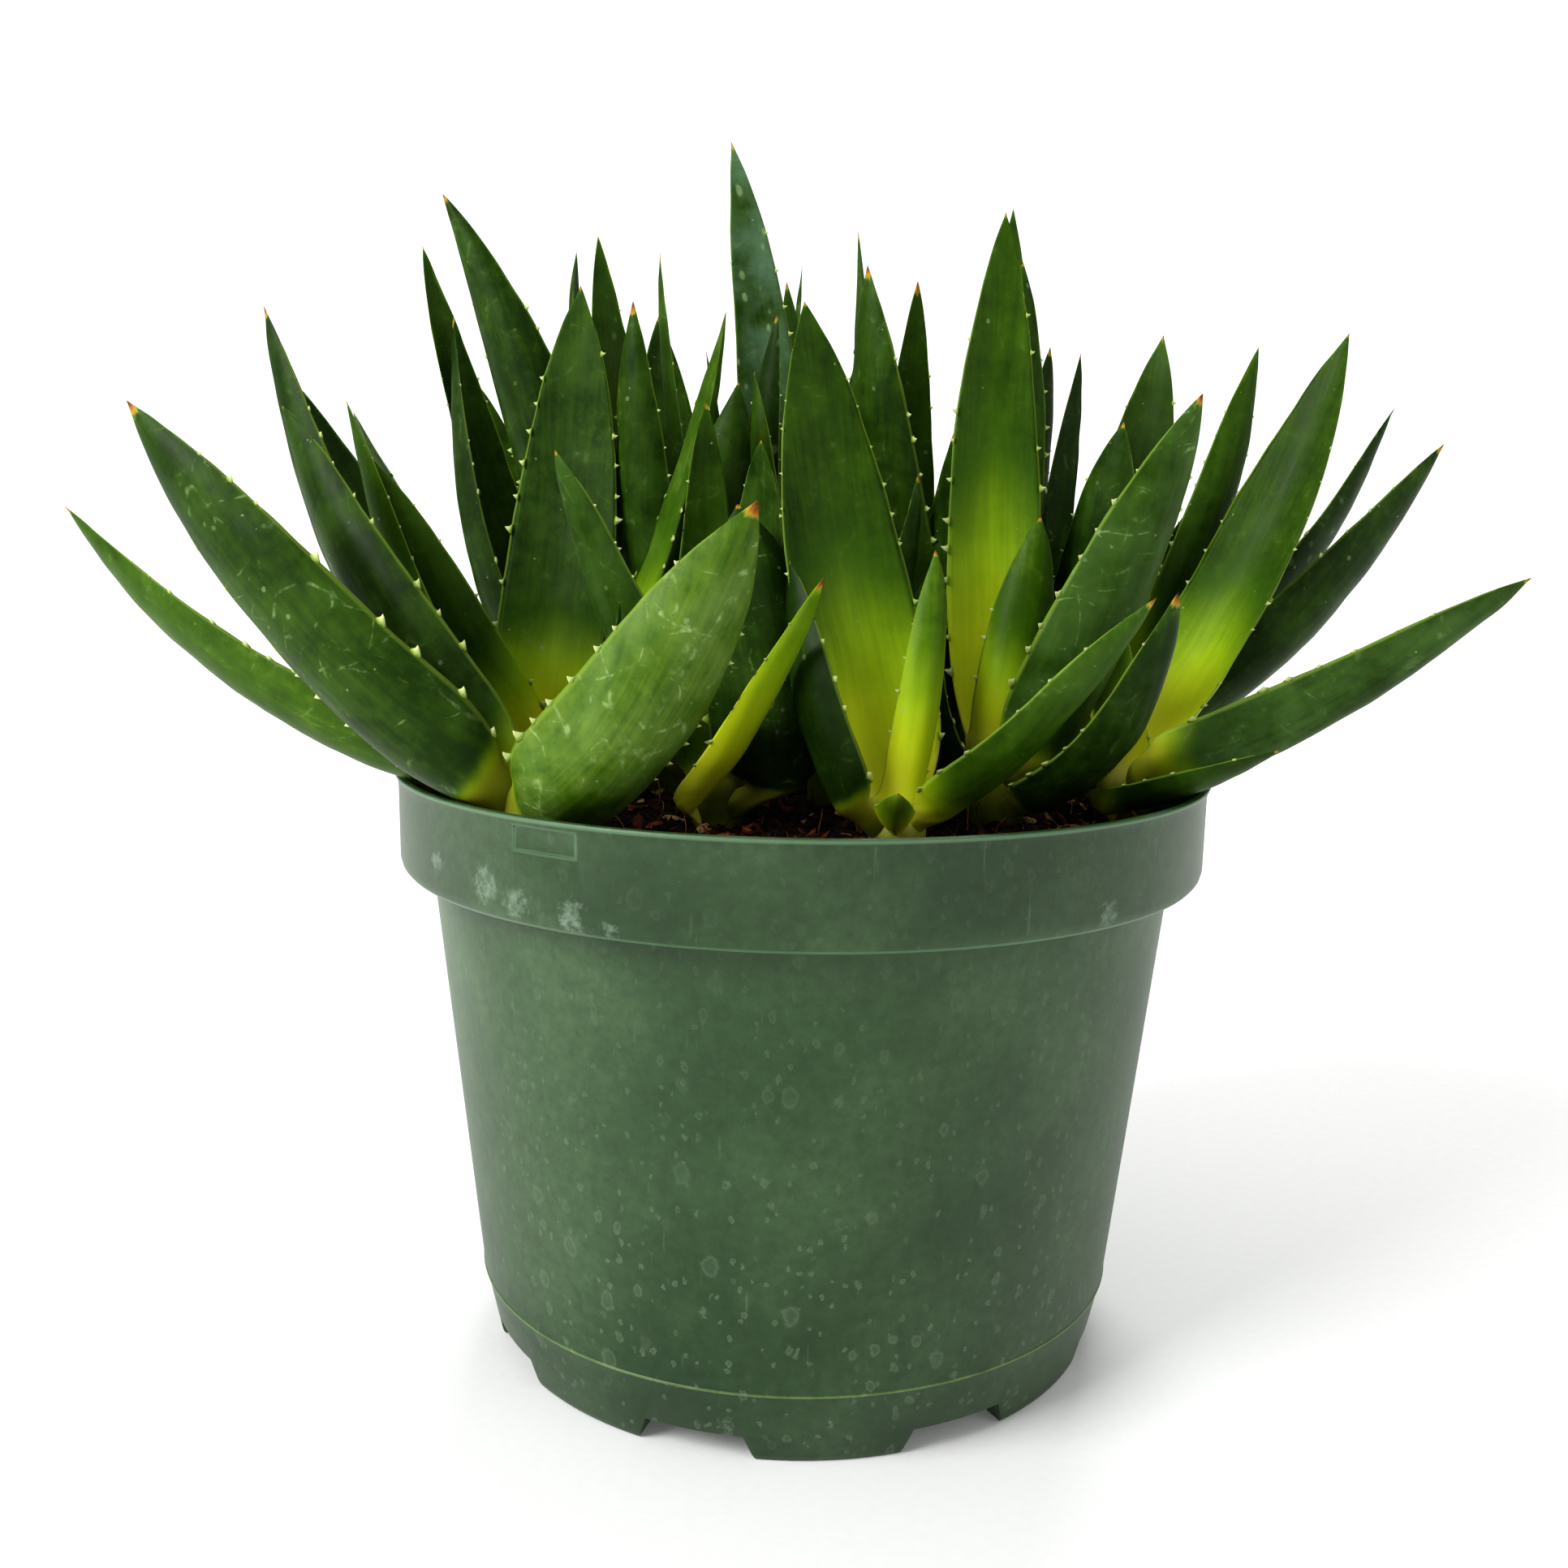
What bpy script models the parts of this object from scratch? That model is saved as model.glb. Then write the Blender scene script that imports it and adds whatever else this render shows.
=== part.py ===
"""A pot of young aloes: a moulded nursery pot, the soil in it, and fifteen small rosettes of fleshy leaves.

Each rosette is a heart, which is its short stem grown in one piece with its youngest leaves, and the
older leaves that clasp the stem below them. The pot's axis is Z and its feet stand on z = 0. The front
of the plant is towards -Y. Every length below is in millimetres and every angle in degrees.
"""

import math

import bmesh
import bpy
import numpy as np
from mathutils import Matrix, Vector
from mathutils.bvhtree import BVHTree

MM = 0.001
GAP = 0.3  # clearance between pieces that touch
SMOOTH_BELOW = 35.0  # edges that fold by more than this many degrees stay sharp

# The pot, a six-inch one
RIM_RADIUS = 74.2
POT_HEIGHT = 107.0
WALL = 1.3
BAND_HEIGHT = 17.5  # the stiffening band below the rim
BAND_FOOT_RADIUS = 72.9
LIP_ROUNDING = 0.4
BODY_TOP_RADIUS = 67.9
SEAM_HEIGHT = 13.1
SEAM_RADIUS = 59.8
FOOT_RADIUS = 56.8
FOOT_INNER_RADIUS = 47.0
FLOOR_UNDERSIDE = 4.8
FLOOR_CORNER = 4.0  # how far the inner corner of the floor is rounded off
POT_SEGMENTS = 72

# The eight notches that leave eight feet
NOTCHES = 8
NOTCH_FIRST = -106.0  # azimuth of the first notch, anticlockwise from +X
NOTCH_WIDTH = 17.0
NOTCH_HEIGHT = 4.6
NOTCH_SPLAY = 1.5  # how much wider the mouth is on each side

# The soil
SOIL_TOP = POT_HEIGHT - 8.0
SOIL_EDGE_DROP = 1.2
SOIL_EDGE_WIDTH = 9.0  # the strip along the wall that has sunk
SOIL_GAP = 0.4  # clearance between the root ball and the wall

# A leaf along its length, from the stem to the tip. Widths are parts of the leaf's full width, and
# thickness and channel depth are parts of it too.
STATIONS = (0.0, 0.1, 0.22, 0.36, 0.52, 0.68, 0.82, 0.93)
WIDTH_AT = (0.60, 0.82, 0.96, 1.0, 0.94, 0.77, 0.52, 0.25)
THICKNESS_AT = (0.25, 0.27, 0.27, 0.26, 0.23, 0.18, 0.12, 0.06)
CHANNEL_AT = (0.18, 0.20, 0.20, 0.18, 0.15, 0.12, 0.08, 0.035)
BEND_AT = 0.42  # where along the leaf its bow is strongest
HEART_LEAF_INSET = 0.42  # a heart leaf starts at this part of the stem's radius

# Older leaves that find no room where they grew are pushed aside, as in a crowded pot
SWING_STEP = 2.5
SWING_STEPS = 8
SWING_WAYS = 8
SLIMMER = (1.0, 0.92, 0.84, 0.76, 0.68)
OUTWARD = (0.0, 1.5, 3.0, 5.0, 7.5)  # steps of the base away from the stem
AROUND = (0, 12, -12, 24, -24, 36, -36, 50, -50, 65, -65)  # and round it
UPWARD = (0.0, 2.5, -2.0)
FOOT_RINGS = 3  # the rings that a leaf's base is tried with
ROOTED_WITHIN = 70.5  # every leaf starts this near the axis of the pot, inside its lip
REACH = 25.0  # pieces further than this from the base and the tip are not in the way


class Leaf:
    """One leaf. side is the azimuth at which it clasps the stem, and back is the one that its fleshy
    back looks towards, with its channelled inner face away from there. rise is where it starts, above
    the soil."""

    def __init__(self, side, tip, width, bow=0.06, rise=6.0, back=None):
        self.side = side
        self.tip = tip
        self.width = width
        self.bow = bow
        self.rise = rise
        self.back = side if back is None else back


class Rosette:
    """One plant: where it stands, how high its stem is, and its leaves. The heart's leaves share the
    stem's top equally, the first of them at its own side."""

    def __init__(self, name, at, stem, radius, heart, leaves):
        self.name = name
        self.at = at
        self.stem = stem
        self.radius = radius
        self.heart = heart
        self.leaves = leaves


ROSETTES = (
    Rosette("front", (16, -36), 6, 5.0,
            heart=[Leaf(115, (-1, -22, 187), 20, 0.05), Leaf(295, (21, -33, 147), 9, 0.04)],
            leaves=[Leaf(322, (52, -57, 141), 11, 0.05, 5.5, back=310),
                    Leaf(262, (15, -52, 110), 7, 0.05, 4), Leaf(205, (4, -28, 146), 12, 0.06, 6)]),
    Rosette("front_right", (35, -12), 13, 5.5,
            heart=[Leaf(95, (35, 6, 207), 17, 0.07), Leaf(275, (41, -11, 153), 10, 0.05)],
            leaves=[Leaf(345, (65, -22, 173), 17, 0.03, 11, back=305), Leaf(190, (22, -22, 136), 9, 0.08, 9),
                    Leaf(325, (59, -40, 141), 13, 0.15, 4, back=310)]),
    Rosette("right", (59, -8), 11, 5.5,
            heart=[Leaf(50, (99, 8, 187), 20, 0.08), Leaf(230, (52, -13, 142), 9, 0.06)],
            leaves=[Leaf(340, (119, -30, 144), 19, 0.05, 7, back=295),
                    Leaf(300, (83, -40, 118), 11, 0.03, 6),
                    Leaf(15, (129, -2, 140), 11, 0.07, 5, back=320)]),
    Rosette("front_left", (-44, -42), 9, 6.0,
            heart=[Leaf(195, (-89, -20, 169), 15, 0.06, back=230), Leaf(15, (-30, -36, 138), 9, 0.06)],
            leaves=[Leaf(290, (-7, -62, 154), 25, 0.14, 6, back=290),
                    Leaf(200, (-106, -42, 168), 20, 0.07, 7, back=245),
                    Leaf(170, (-130, -14, 152), 17, 0.11, 5, back=235)]),
    Rosette("centre", (-15, -18), 8, 5.0,
            heart=[Leaf(45, (-8, -20, 165), 14, 0.07), Leaf(225, (-41, -32, 162), 13, 0.05)],
            leaves=[Leaf(230, (3, -48, 143), 7, 0.05, 3, back=315), Leaf(285, (-9, -28, 154), 19, 0.09, 7),
                    Leaf(100, (-15, -20, 171), 9, 0.05, 8)]),
    Rosette("left", (-50, -3), 11, 5.5,
            heart=[Leaf(75, (-42, 6, 193), 18, 0.06), Leaf(255, (-76, -13, 161), 11, 0.06)],
            leaves=[Leaf(170, (-101, 8, 189), 19, 0.07, 9, back=215),
                    Leaf(215, (-79, -8, 171), 10, 0.05, 10), Leaf(150, (-99, -2, 170), 15, 0.07, 5),
                    Leaf(20, (-37, -2, 192), 14, 0.05, 9)]),
    Rosette("inner", (-25, 14), 12, 5.5,
            heart=[Leaf(245, (-32, 2, 190), 11, 0.05), Leaf(5, (-20, 20, 184), 14, 0.07),
                   Leaf(125, (-42, 30, 206), 11, 0.04)],
            leaves=[Leaf(175, (-46, 18, 202), 14, 0.06, 11), Leaf(300, (-19, 6, 177), 15, 0.07, 8, back=275),
                    Leaf(70, (-31, 22, 197), 14, 0.08, 8)]),
    Rosette("middle", (6, 6), 11, 5.0,
            heart=[Leaf(90, (2, 16, 186), 15, 0.07), Leaf(210, (-10, 2, 178), 13, 0.06),
                   Leaf(330, (20, -2, 160), 12, 0.07)],
            leaves=[Leaf(30, (26, 12, 168), 13, 0.10, 6)]),
    Rosette("back_centre", (-10, 34), 13, 6.0,
            heart=[Leaf(80, (-16, 30, 224), 13, 0.05), Leaf(200, (-30, 32, 204), 11, 0.05),
                   Leaf(320, (-8, 12, 179), 12, 0.05)],
            leaves=[Leaf(225, (-26, 15, 188), 10, 0.05, 9), Leaf(50, (-5, 45, 200), 13, 0.06, 9),
                    Leaf(10, (9, 45, 209), 14, 0.06, 7)]),
    Rosette("inner_right", (29, 32), 13, 5.5,
            heart=[Leaf(35, (39, 28, 212), 15, 0.06), Leaf(215, (8, 8, 197), 18, 0.06)],
            leaves=[Leaf(290, (24, 21, 200), 15, 0.05, 10, back=270), Leaf(120, (23, 42, 199), 11, 0.06, 9),
                    Leaf(330, (52, 20, 184), 13, 0.07, 8)]),
    Rosette("back_right", (54, 22), 11, 5.5,
            heart=[Leaf(60, (72, 40, 190), 15, 0.06), Leaf(240, (57, 0, 170), 13, 0.06)],
            leaves=[Leaf(350, (86, 20, 186), 11, 0.05, 10, back=300),
                    Leaf(15, (121, 42, 177), 15, 0.08, 7, back=330),
                    Leaf(335, (122, 18, 168), 17, 0.08, 6, back=310), Leaf(60, (92, 54, 168), 12, 0.08, 5)]),
    Rosette("back_left", (-43, 35), 11, 6.0,
            heart=[Leaf(70, (-60, 38, 187), 19, 0.06), Leaf(250, (-72, 28, 213), 18, 0.05)],
            leaves=[Leaf(130, (-80, 44, 206), 10, 0.05, 10), Leaf(200, (-77, 45, 191), 12, 0.08, 8),
                    Leaf(165, (-97, 50, 173), 12, 0.06, 5), Leaf(110, (-73, 63, 180), 15, 0.08, 6)]),
    Rosette("rear_left", (-24, 54), 11, 5.5,
            heart=[Leaf(110, (-34, 72, 196), 16, 0.06), Leaf(230, (-38, 50, 190), 13, 0.06),
                   Leaf(350, (-8, 60, 186), 13, 0.07)],
            leaves=[Leaf(150, (-60, 72, 160), 15, 0.08, 6), Leaf(60, (-10, 70, 162), 15, 0.08, 5)]),
    Rosette("rear", (6, 60), 12, 5.5,
            heart=[Leaf(60, (14, 72, 200), 14, 0.05), Leaf(180, (-6, 62, 206), 12, 0.05),
                   Leaf(300, (12, 48, 188), 13, 0.06)],
            leaves=[Leaf(100, (2, 71, 164), 16, 0.07, 5)]),
    Rosette("rear_right", (34, 49), 12, 5.5,
            heart=[Leaf(75, (46, 70, 196), 15, 0.06), Leaf(195, (22, 54, 200), 12, 0.05),
                   Leaf(315, (50, 46, 188), 12, 0.06)],
            leaves=[Leaf(30, (84, 64, 170), 16, 0.08, 7), Leaf(110, (26, 70, 160), 15, 0.08, 5),
                    Leaf(330, (66, 44, 158), 12, 0.08, 5)]),
)


def clear_scene():
    for thing in list(bpy.data.objects):
        bpy.data.objects.remove(thing, do_unlink=True)


def material(name, colour, roughness):
    made = bpy.data.materials.new(name)
    made.use_nodes = True
    shader = made.node_tree.nodes["Principled BSDF"]
    shader.inputs["Base Color"].default_value = (*colour, 1.0)
    shader.inputs["Roughness"].default_value = roughness
    return made


def new_object(name, mesh, finish):
    thing = bpy.data.objects.new(name, mesh)
    bpy.context.scene.collection.objects.link(thing)
    mesh.materials.append(finish)
    return thing


def mesh_from(name, points, faces):
    """A closed mesh in metres from points in millimetres, its faces pointing out."""
    shape = bmesh.new()
    corners = [shape.verts.new(Vector(point) * MM) for point in points]
    for face in faces:
        shape.faces.new([corners[i] for i in face])
    bmesh.ops.recalc_face_normals(shape, faces=shape.faces)
    mesh = bpy.data.meshes.new(name)
    shape.to_mesh(mesh)
    shape.free()
    mesh.shade_smooth()
    mesh.set_sharp_from_angle(angle=math.radians(SMOOTH_BELOW))
    return mesh


def turned(name, profile, segments):
    """A solid of revolution about Z. The profile runs from the axis, round the solid, to the axis."""
    shape = bmesh.new()
    corners = [shape.verts.new((radius * MM, 0.0, height * MM)) for radius, height in profile]
    edges = [shape.edges.new(pair) for pair in zip(corners, corners[1:])]
    bmesh.ops.spin(shape, geom=corners + edges, cent=(0, 0, 0), axis=(0, 0, 1),
                   angle=math.tau, steps=segments, use_merge=True)
    bmesh.ops.remove_doubles(shape, verts=shape.verts, dist=1e-6)
    bmesh.ops.recalc_face_normals(shape, faces=shape.faces)
    mesh = bpy.data.meshes.new(name)
    shape.to_mesh(mesh)
    shape.free()
    mesh.shade_smooth()
    mesh.set_sharp_from_angle(angle=math.radians(SMOOTH_BELOW))
    return mesh


def azimuth(degrees):
    return np.array([math.cos(math.radians(degrees)), math.sin(math.radians(degrees)), 0.0])


# ---------------------------------------------------------------- the pot

BAND_FOOT = POT_HEIGHT - BAND_HEIGHT


def pot_profile():
    """Down the inside from the middle of the floor, over the rim, and back under the foot."""
    floor_top = FLOOR_UNDERSIDE + WALL
    band_corner = [
        (BAND_FOOT_RADIUS + 0.5, BAND_FOOT + 1.6),
        (BAND_FOOT_RADIUS - 0.4, BAND_FOOT + 0.3),
        (BAND_FOOT_RADIUS - 1.4, BAND_FOOT),
    ]
    inside = [
        (0.0, floor_top),
        (SEAM_RADIUS - WALL - FLOOR_CORNER, floor_top),
        (SEAM_RADIUS - WALL, SEAM_HEIGHT),
        (BODY_TOP_RADIUS - WALL, BAND_FOOT + WALL),
        (BAND_FOOT_RADIUS - WALL, BAND_FOOT + WALL),
        (RIM_RADIUS - WALL, POT_HEIGHT - LIP_ROUNDING),
        (RIM_RADIUS - WALL + LIP_ROUNDING, POT_HEIGHT),
    ]
    outside = [
        (RIM_RADIUS - LIP_ROUNDING, POT_HEIGHT),
        (RIM_RADIUS, POT_HEIGHT - LIP_ROUNDING),
        *band_corner,
        (BODY_TOP_RADIUS, BAND_FOOT),
        (SEAM_RADIUS, SEAM_HEIGHT),
        (FOOT_RADIUS, 0.0),
        (FOOT_INNER_RADIUS, 0.0),
        (FOOT_INNER_RADIUS - 0.8, FLOOR_UNDERSIDE),
        (0.0, FLOOR_UNDERSIDE),
    ]
    return inside + outside


def notch_cutters():
    """Wedges through the foot ring, wider at the table."""
    shape = bmesh.new()
    inner, outer = FOOT_INNER_RADIUS - 6.0, FOOT_RADIUS + 6.0
    half = NOTCH_WIDTH / 2
    for n in range(NOTCHES):
        turn = Matrix.Rotation(math.radians(NOTCH_FIRST + n * 360 / NOTCHES), 4, "Z")
        rings = []
        for radius in (inner, outer):
            outline = [(-half - 2 * NOTCH_SPLAY, -NOTCH_HEIGHT), (half + 2 * NOTCH_SPLAY, -NOTCH_HEIGHT),
                       (half, NOTCH_HEIGHT), (-half, NOTCH_HEIGHT)]
            rings.append([shape.verts.new(turn @ Vector((radius, y, z)) * MM) for y, z in outline])
        shape.faces.new(rings[0])
        shape.faces.new(rings[1])
        for i in range(4):
            k = (i + 1) % 4
            shape.faces.new((rings[0][i], rings[0][k], rings[1][k], rings[1][i]))
    bmesh.ops.recalc_face_normals(shape, faces=shape.faces)
    mesh = bpy.data.meshes.new("notch_cutters")
    shape.to_mesh(mesh)
    shape.free()
    cutters = bpy.data.objects.new("notch_cutters", mesh)
    bpy.context.scene.collection.objects.link(cutters)
    cutters.hide_render = True
    cutters.display_type = "WIRE"
    return cutters


def make_pot():
    finish = material("pot_green_plastic", (0.06, 0.13, 0.07), 0.5)
    pot = new_object("pot", turned("pot", pot_profile(), POT_SEGMENTS), finish)
    cut = pot.modifiers.new("notches", "BOOLEAN")
    cut.operation = "DIFFERENCE"
    cut.solver = "EXACT"
    cut.object = notch_cutters()
    return pot


def make_soil():
    """The root ball of peat, which fills the pot to a finger's breadth below the rim."""
    away = WALL + SOIL_GAP
    floor_top = FLOOR_UNDERSIDE + WALL + GAP
    edge = SOIL_TOP - SOIL_EDGE_DROP
    slope = (RIM_RADIUS - BAND_FOOT_RADIUS) / BAND_HEIGHT
    edge_radius = BAND_FOOT_RADIUS - away + slope * (edge - BAND_FOOT)
    profile = [
        (0.0, SOIL_TOP),
        (edge_radius - SOIL_EDGE_WIDTH, SOIL_TOP),
        (edge_radius, edge),
        (BAND_FOOT_RADIUS - away, BAND_FOOT + WALL + GAP),
        (BODY_TOP_RADIUS - away, BAND_FOOT + WALL + GAP),
        (SEAM_RADIUS - away, SEAM_HEIGHT + GAP),
        (SEAM_RADIUS - away - FLOOR_CORNER, floor_top),
        (0.0, floor_top),
    ]
    return new_object("soil", turned("soil", profile, POT_SEGMENTS),
                      material("peat", (0.02, 0.012, 0.008), 0.95))


# ---------------------------------------------------------------- the leaves

POINTS_IN_RING = 6


def ring_points(width, thickness, channel):
    """One cross-section, across the leaf and towards its inner face: left margin, round the fleshy
    back, right margin, and the bottom of the channel."""
    return np.array([
        (-0.50 * width, channel),
        (-0.34 * width, -0.62 * thickness + 0.35 * channel),
        (0.0, -thickness),
        (0.34 * width, -0.62 * thickness + 0.35 * channel),
        (0.50 * width, channel),
        (0.0, 0.0),
    ])


def unit(vector):
    return vector / np.linalg.norm(vector)


def leaf_points(base, leaf, tip, slimness):
    """The rings of a leaf from its base to just short of its tip, and then the tip."""
    chord = tip - base
    length = np.linalg.norm(chord)
    along = chord / length
    across = azimuth(leaf.back + 90)
    across = unit(across - along * np.dot(across, along))
    inward = np.cross(along, across)
    elbow = base + BEND_AT * chord - 2 * leaf.bow * length * inward
    points = []
    for u, wide, thick, deep in zip(STATIONS, WIDTH_AT, THICKNESS_AT, CHANNEL_AT):
        centre = (1 - u) ** 2 * base + 2 * u * (1 - u) * elbow + u ** 2 * tip
        tangent = unit(2 * (1 - u) * (elbow - base) + 2 * u * (tip - elbow))
        side = unit(across - tangent * np.dot(across, tangent))
        face = np.cross(tangent, side)
        size = leaf.width * slimness
        for x, y in ring_points(wide * size, thick * size, deep * size):
            points.append(centre + x * side + y * face)
    points.append(tip)
    return np.array(points)


def band_faces(first, second):
    """The quads between two rings, given as lists of point numbers."""
    count = len(first)
    return [(first[i], first[(i + 1) % count], second[(i + 1) % count], second[i])
            for i in range(count)]


def leaf_faces(start=0, first_ring=0, close_base=True):
    """The faces of a leaf whose points begin at start, from first_ring up to the tip."""
    rings = [[start + k * POINTS_IN_RING + i for i in range(POINTS_IN_RING)]
             for k in range(len(STATIONS) - first_ring)]
    tip = start + POINTS_IN_RING * len(rings)
    faces = [face for lower, upper in zip(rings, rings[1:]) for face in band_faces(lower, upper)]
    faces += [(rings[-1][i], rings[-1][(i + 1) % POINTS_IN_RING], tip) for i in range(POINTS_IN_RING)]
    if close_base:
        faces += [(rings[0][5], rings[0][i], rings[0][i + 1]) for i in range(4)]
    return faces


def tube_faces(count):
    """The faces of a stretch of leaf of so many rings, closed at both ends."""
    rings = [[k * POINTS_IN_RING + i for i in range(POINTS_IN_RING)] for k in range(count)]
    faces = [face for lower, upper in zip(rings, rings[1:]) for face in band_faces(lower, upper)]
    for ring in (rings[0], rings[-1]):
        faces += [(ring[5], ring[i], ring[i + 1]) for i in range(4)]
    return faces


class Obstacle:
    """A piece already in place, for asking whether another is clear of it."""

    def __init__(self, points, faces):
        self.points = points
        self.tree = BVHTree.FromPolygons(points.tolist(), faces)
        self.low = points.min(axis=0) - GAP
        self.high = points.max(axis=0) + GAP

    def apart_from(self, other):
        return (self.low > other.high).any() or (other.low > self.high).any()

    def too_near(self, other):
        """Whether a point of this piece is nearer to the other than the gap."""
        inside = ((self.points > other.low) & (self.points < other.high)).all(axis=1)
        return any(other.tree.find_nearest(point, GAP)[0] is not None
                   for point in self.points[inside].tolist())

    def clear_of(self, other):
        if self.apart_from(other):
            return True
        if self.tree.overlap(other.tree):
            return False
        return not self.too_near(other) and not other.too_near(self)


def swings():
    """Sideways and upward turns in degrees, the smallest first."""
    yield 0.0, 0.0
    for step in range(1, SWING_STEPS + 1):
        for way in range(SWING_WAYS):
            angle = math.tau * way / SWING_WAYS
            yield step * SWING_STEP * math.cos(angle), step * SWING_STEP * math.sin(angle)


def swung(base, tip, sideways, upward):
    """The tip after the whole leaf turns about its base."""
    chord = Vector(tip - base)
    level = chord.cross(Vector((0, 0, 1)))
    if level.length < 1e-6:
        level = Vector((1, 0, 0))
    chord.rotate(Matrix.Rotation(math.radians(upward), 3, level.normalized()))
    face = chord.cross(level).normalized()
    chord.rotate(Matrix.Rotation(math.radians(sideways), 3, face))
    return base + np.array(chord)


def fits(points, first_ring, last_ring, obstacles):
    """The part of a leaf between two rings as an obstacle of its own, or None where it touches one."""
    whole = last_ring == len(STATIONS)
    stop = last_ring * POINTS_IN_RING + (1 if whole else 0)
    solid = points[first_ring * POINTS_IN_RING:stop]
    if solid[:, 2].min() < SOIL_TOP + GAP:
        return None
    faces = leaf_faces(first_ring=first_ring) if whole else tube_faces(last_ring - first_ring)
    trial = Obstacle(solid, faces)
    return trial if all(trial.clear_of(other) for other in obstacles) else None


def find_room(footings, leaf, first_ring, obstacles):
    """The leaf's points at the nearest place where it touches nothing, made slimmer if it must be."""
    tip = np.array(leaf.tip, float)
    reach = Obstacle(np.array([footings[0] - REACH, footings[0] + REACH, tip - REACH, tip + REACH]), [])
    near = [other for other in obstacles if not reach.apart_from(other)]
    for slimness in SLIMMER:
        for base in footings:
            points = leaf_points(base, leaf, tip, slimness)
            if fits(points, first_ring, FOOT_RINGS, near) is None:
                continue
            for sideways, upward in swings():
                points = leaf_points(base, leaf, swung(base, tip, sideways, upward), slimness)
                trial = fits(points, first_ring, len(STATIONS), near)
                if trial is not None:
                    return points, trial
    raise ValueError(f"no room for the leaf of width {leaf.width} towards {leaf.tip}")


def stem_rings(rosette, sides):
    """The stem's foot on the soil and its top, each as a ring of points."""
    foot = np.array([*rosette.at, SOIL_TOP + GAP])
    top = np.array([*rosette.at, SOIL_TOP + rosette.stem])
    start = rosette.heart[0].side - 180 / len(rosette.heart)
    around = [azimuth(start + 360 * k / sides) * rosette.radius for k in range(sides)]
    return [foot + spoke * 1.1 for spoke in around], [top + spoke for spoke in around]


def stem_obstacle(rosette):
    lower, upper = stem_rings(rosette, 4 * len(rosette.heart))
    count = len(lower)
    faces = band_faces(list(range(count)), list(range(count, 2 * count)))
    faces += [tuple(range(count)), tuple(range(count, 2 * count))]
    return Obstacle(np.array(lower + upper), faces)


def heart_leaf_base(rosette, leaf):
    top = np.array([*rosette.at, SOIL_TOP + rosette.stem])
    return top + azimuth(leaf.side) * rosette.radius * HEART_LEAF_INSET


def outer_leaf_bases(rosette, leaf):
    """The places where the leaf might clasp the stem, the likeliest first."""
    ways = [(out, turn, up) for out in OUTWARD for turn in AROUND for up in UPWARD]
    ways.sort(key=lambda way: way[0] / 1.5 + abs(way[1]) / 12 + abs(way[2]) / 2)
    bases = [np.array([*rosette.at, SOIL_TOP + leaf.rise + up])
             + azimuth(leaf.side + turn) * (rosette.radius + 2 * GAP + out) for out, turn, up in ways]
    return [base for base in bases if math.hypot(base[0], base[1]) <= ROOTED_WITHIN]


def heart_shape(rosette, placed):
    """The stem and its youngest leaves as one closed shape. The stem's top is shared into as many
    sectors as there are leaves, and each leaf grows out of its own, its channel towards the middle."""
    sides = 4 * len(rosette.heart)
    lower, upper = stem_rings(rosette, sides)
    points = lower + upper + [np.array([*rosette.at, SOIL_TOP + rosette.stem])]
    middle = 2 * sides
    faces = band_faces(list(range(sides)), list(range(sides, 2 * sides)))
    faces.append(tuple(range(sides)))
    for k, grown in enumerate(placed):
        sector = [sides + (4 * k + i) % sides for i in range(5)] + [middle]
        start = len(points)
        points += list(grown[POINTS_IN_RING:])
        faces += band_faces(sector, [start + i for i in range(POINTS_IN_RING)])
        faces += leaf_faces(start, first_ring=1, close_base=False)
    return np.array(points), faces


def make_plant(pot):
    """Every heart first, then the older leaves round them, each finding room among the rest."""
    heart_finish = material("aloe_heart", (0.10, 0.20, 0.02), 0.4)
    leaf_finish = material("aloe_leaf", (0.03, 0.12, 0.015), 0.38)
    wall = Obstacle(np.array([vertex.co for vertex in pot.data.vertices]) / MM,
                    [tuple(face.vertices) for face in pot.data.polygons])
    stems = [stem_obstacle(rosette) for rosette in ROSETTES]
    settled = [wall]
    for number, rosette in enumerate(ROSETTES):
        later_stems = stems[number + 1:]
        placed, siblings = [], []
        for leaf in rosette.heart:
            base = heart_leaf_base(rosette, leaf)
            points, solid = find_room([base], leaf, 1, settled + later_stems + siblings)
            placed.append(points)
            siblings.append(solid)
        points, faces = heart_shape(rosette, placed)
        settled.append(Obstacle(points, faces))
        name = rosette.name + "_heart"
        new_object(name, mesh_from(name, points, faces), heart_finish)
    for rosette in ROSETTES:
        for number, leaf in enumerate(rosette.leaves, start=1):
            points, solid = find_room(outer_leaf_bases(rosette, leaf), leaf, 0, settled)
            settled.append(solid)
            name = f"{rosette.name}_leaf_{number}"
            new_object(name, mesh_from(name, points, leaf_faces()), leaf_finish)


clear_scene()
pot = make_pot()
make_soil()
make_plant(pot)
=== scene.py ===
"""A clump of young aloes in a green nursery pot, put together in the order in which it is potted: the pot,
the soil, the leaves of each rosette, and then the table, the light and the camera.

Lengths are in metres, as in the frame. Sizes given in millimetres are multiplied by MM.
"""

import math
import random
from dataclasses import dataclass

import bmesh
import bpy
import numpy as np
from mathutils import Matrix, Vector, noise


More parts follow.
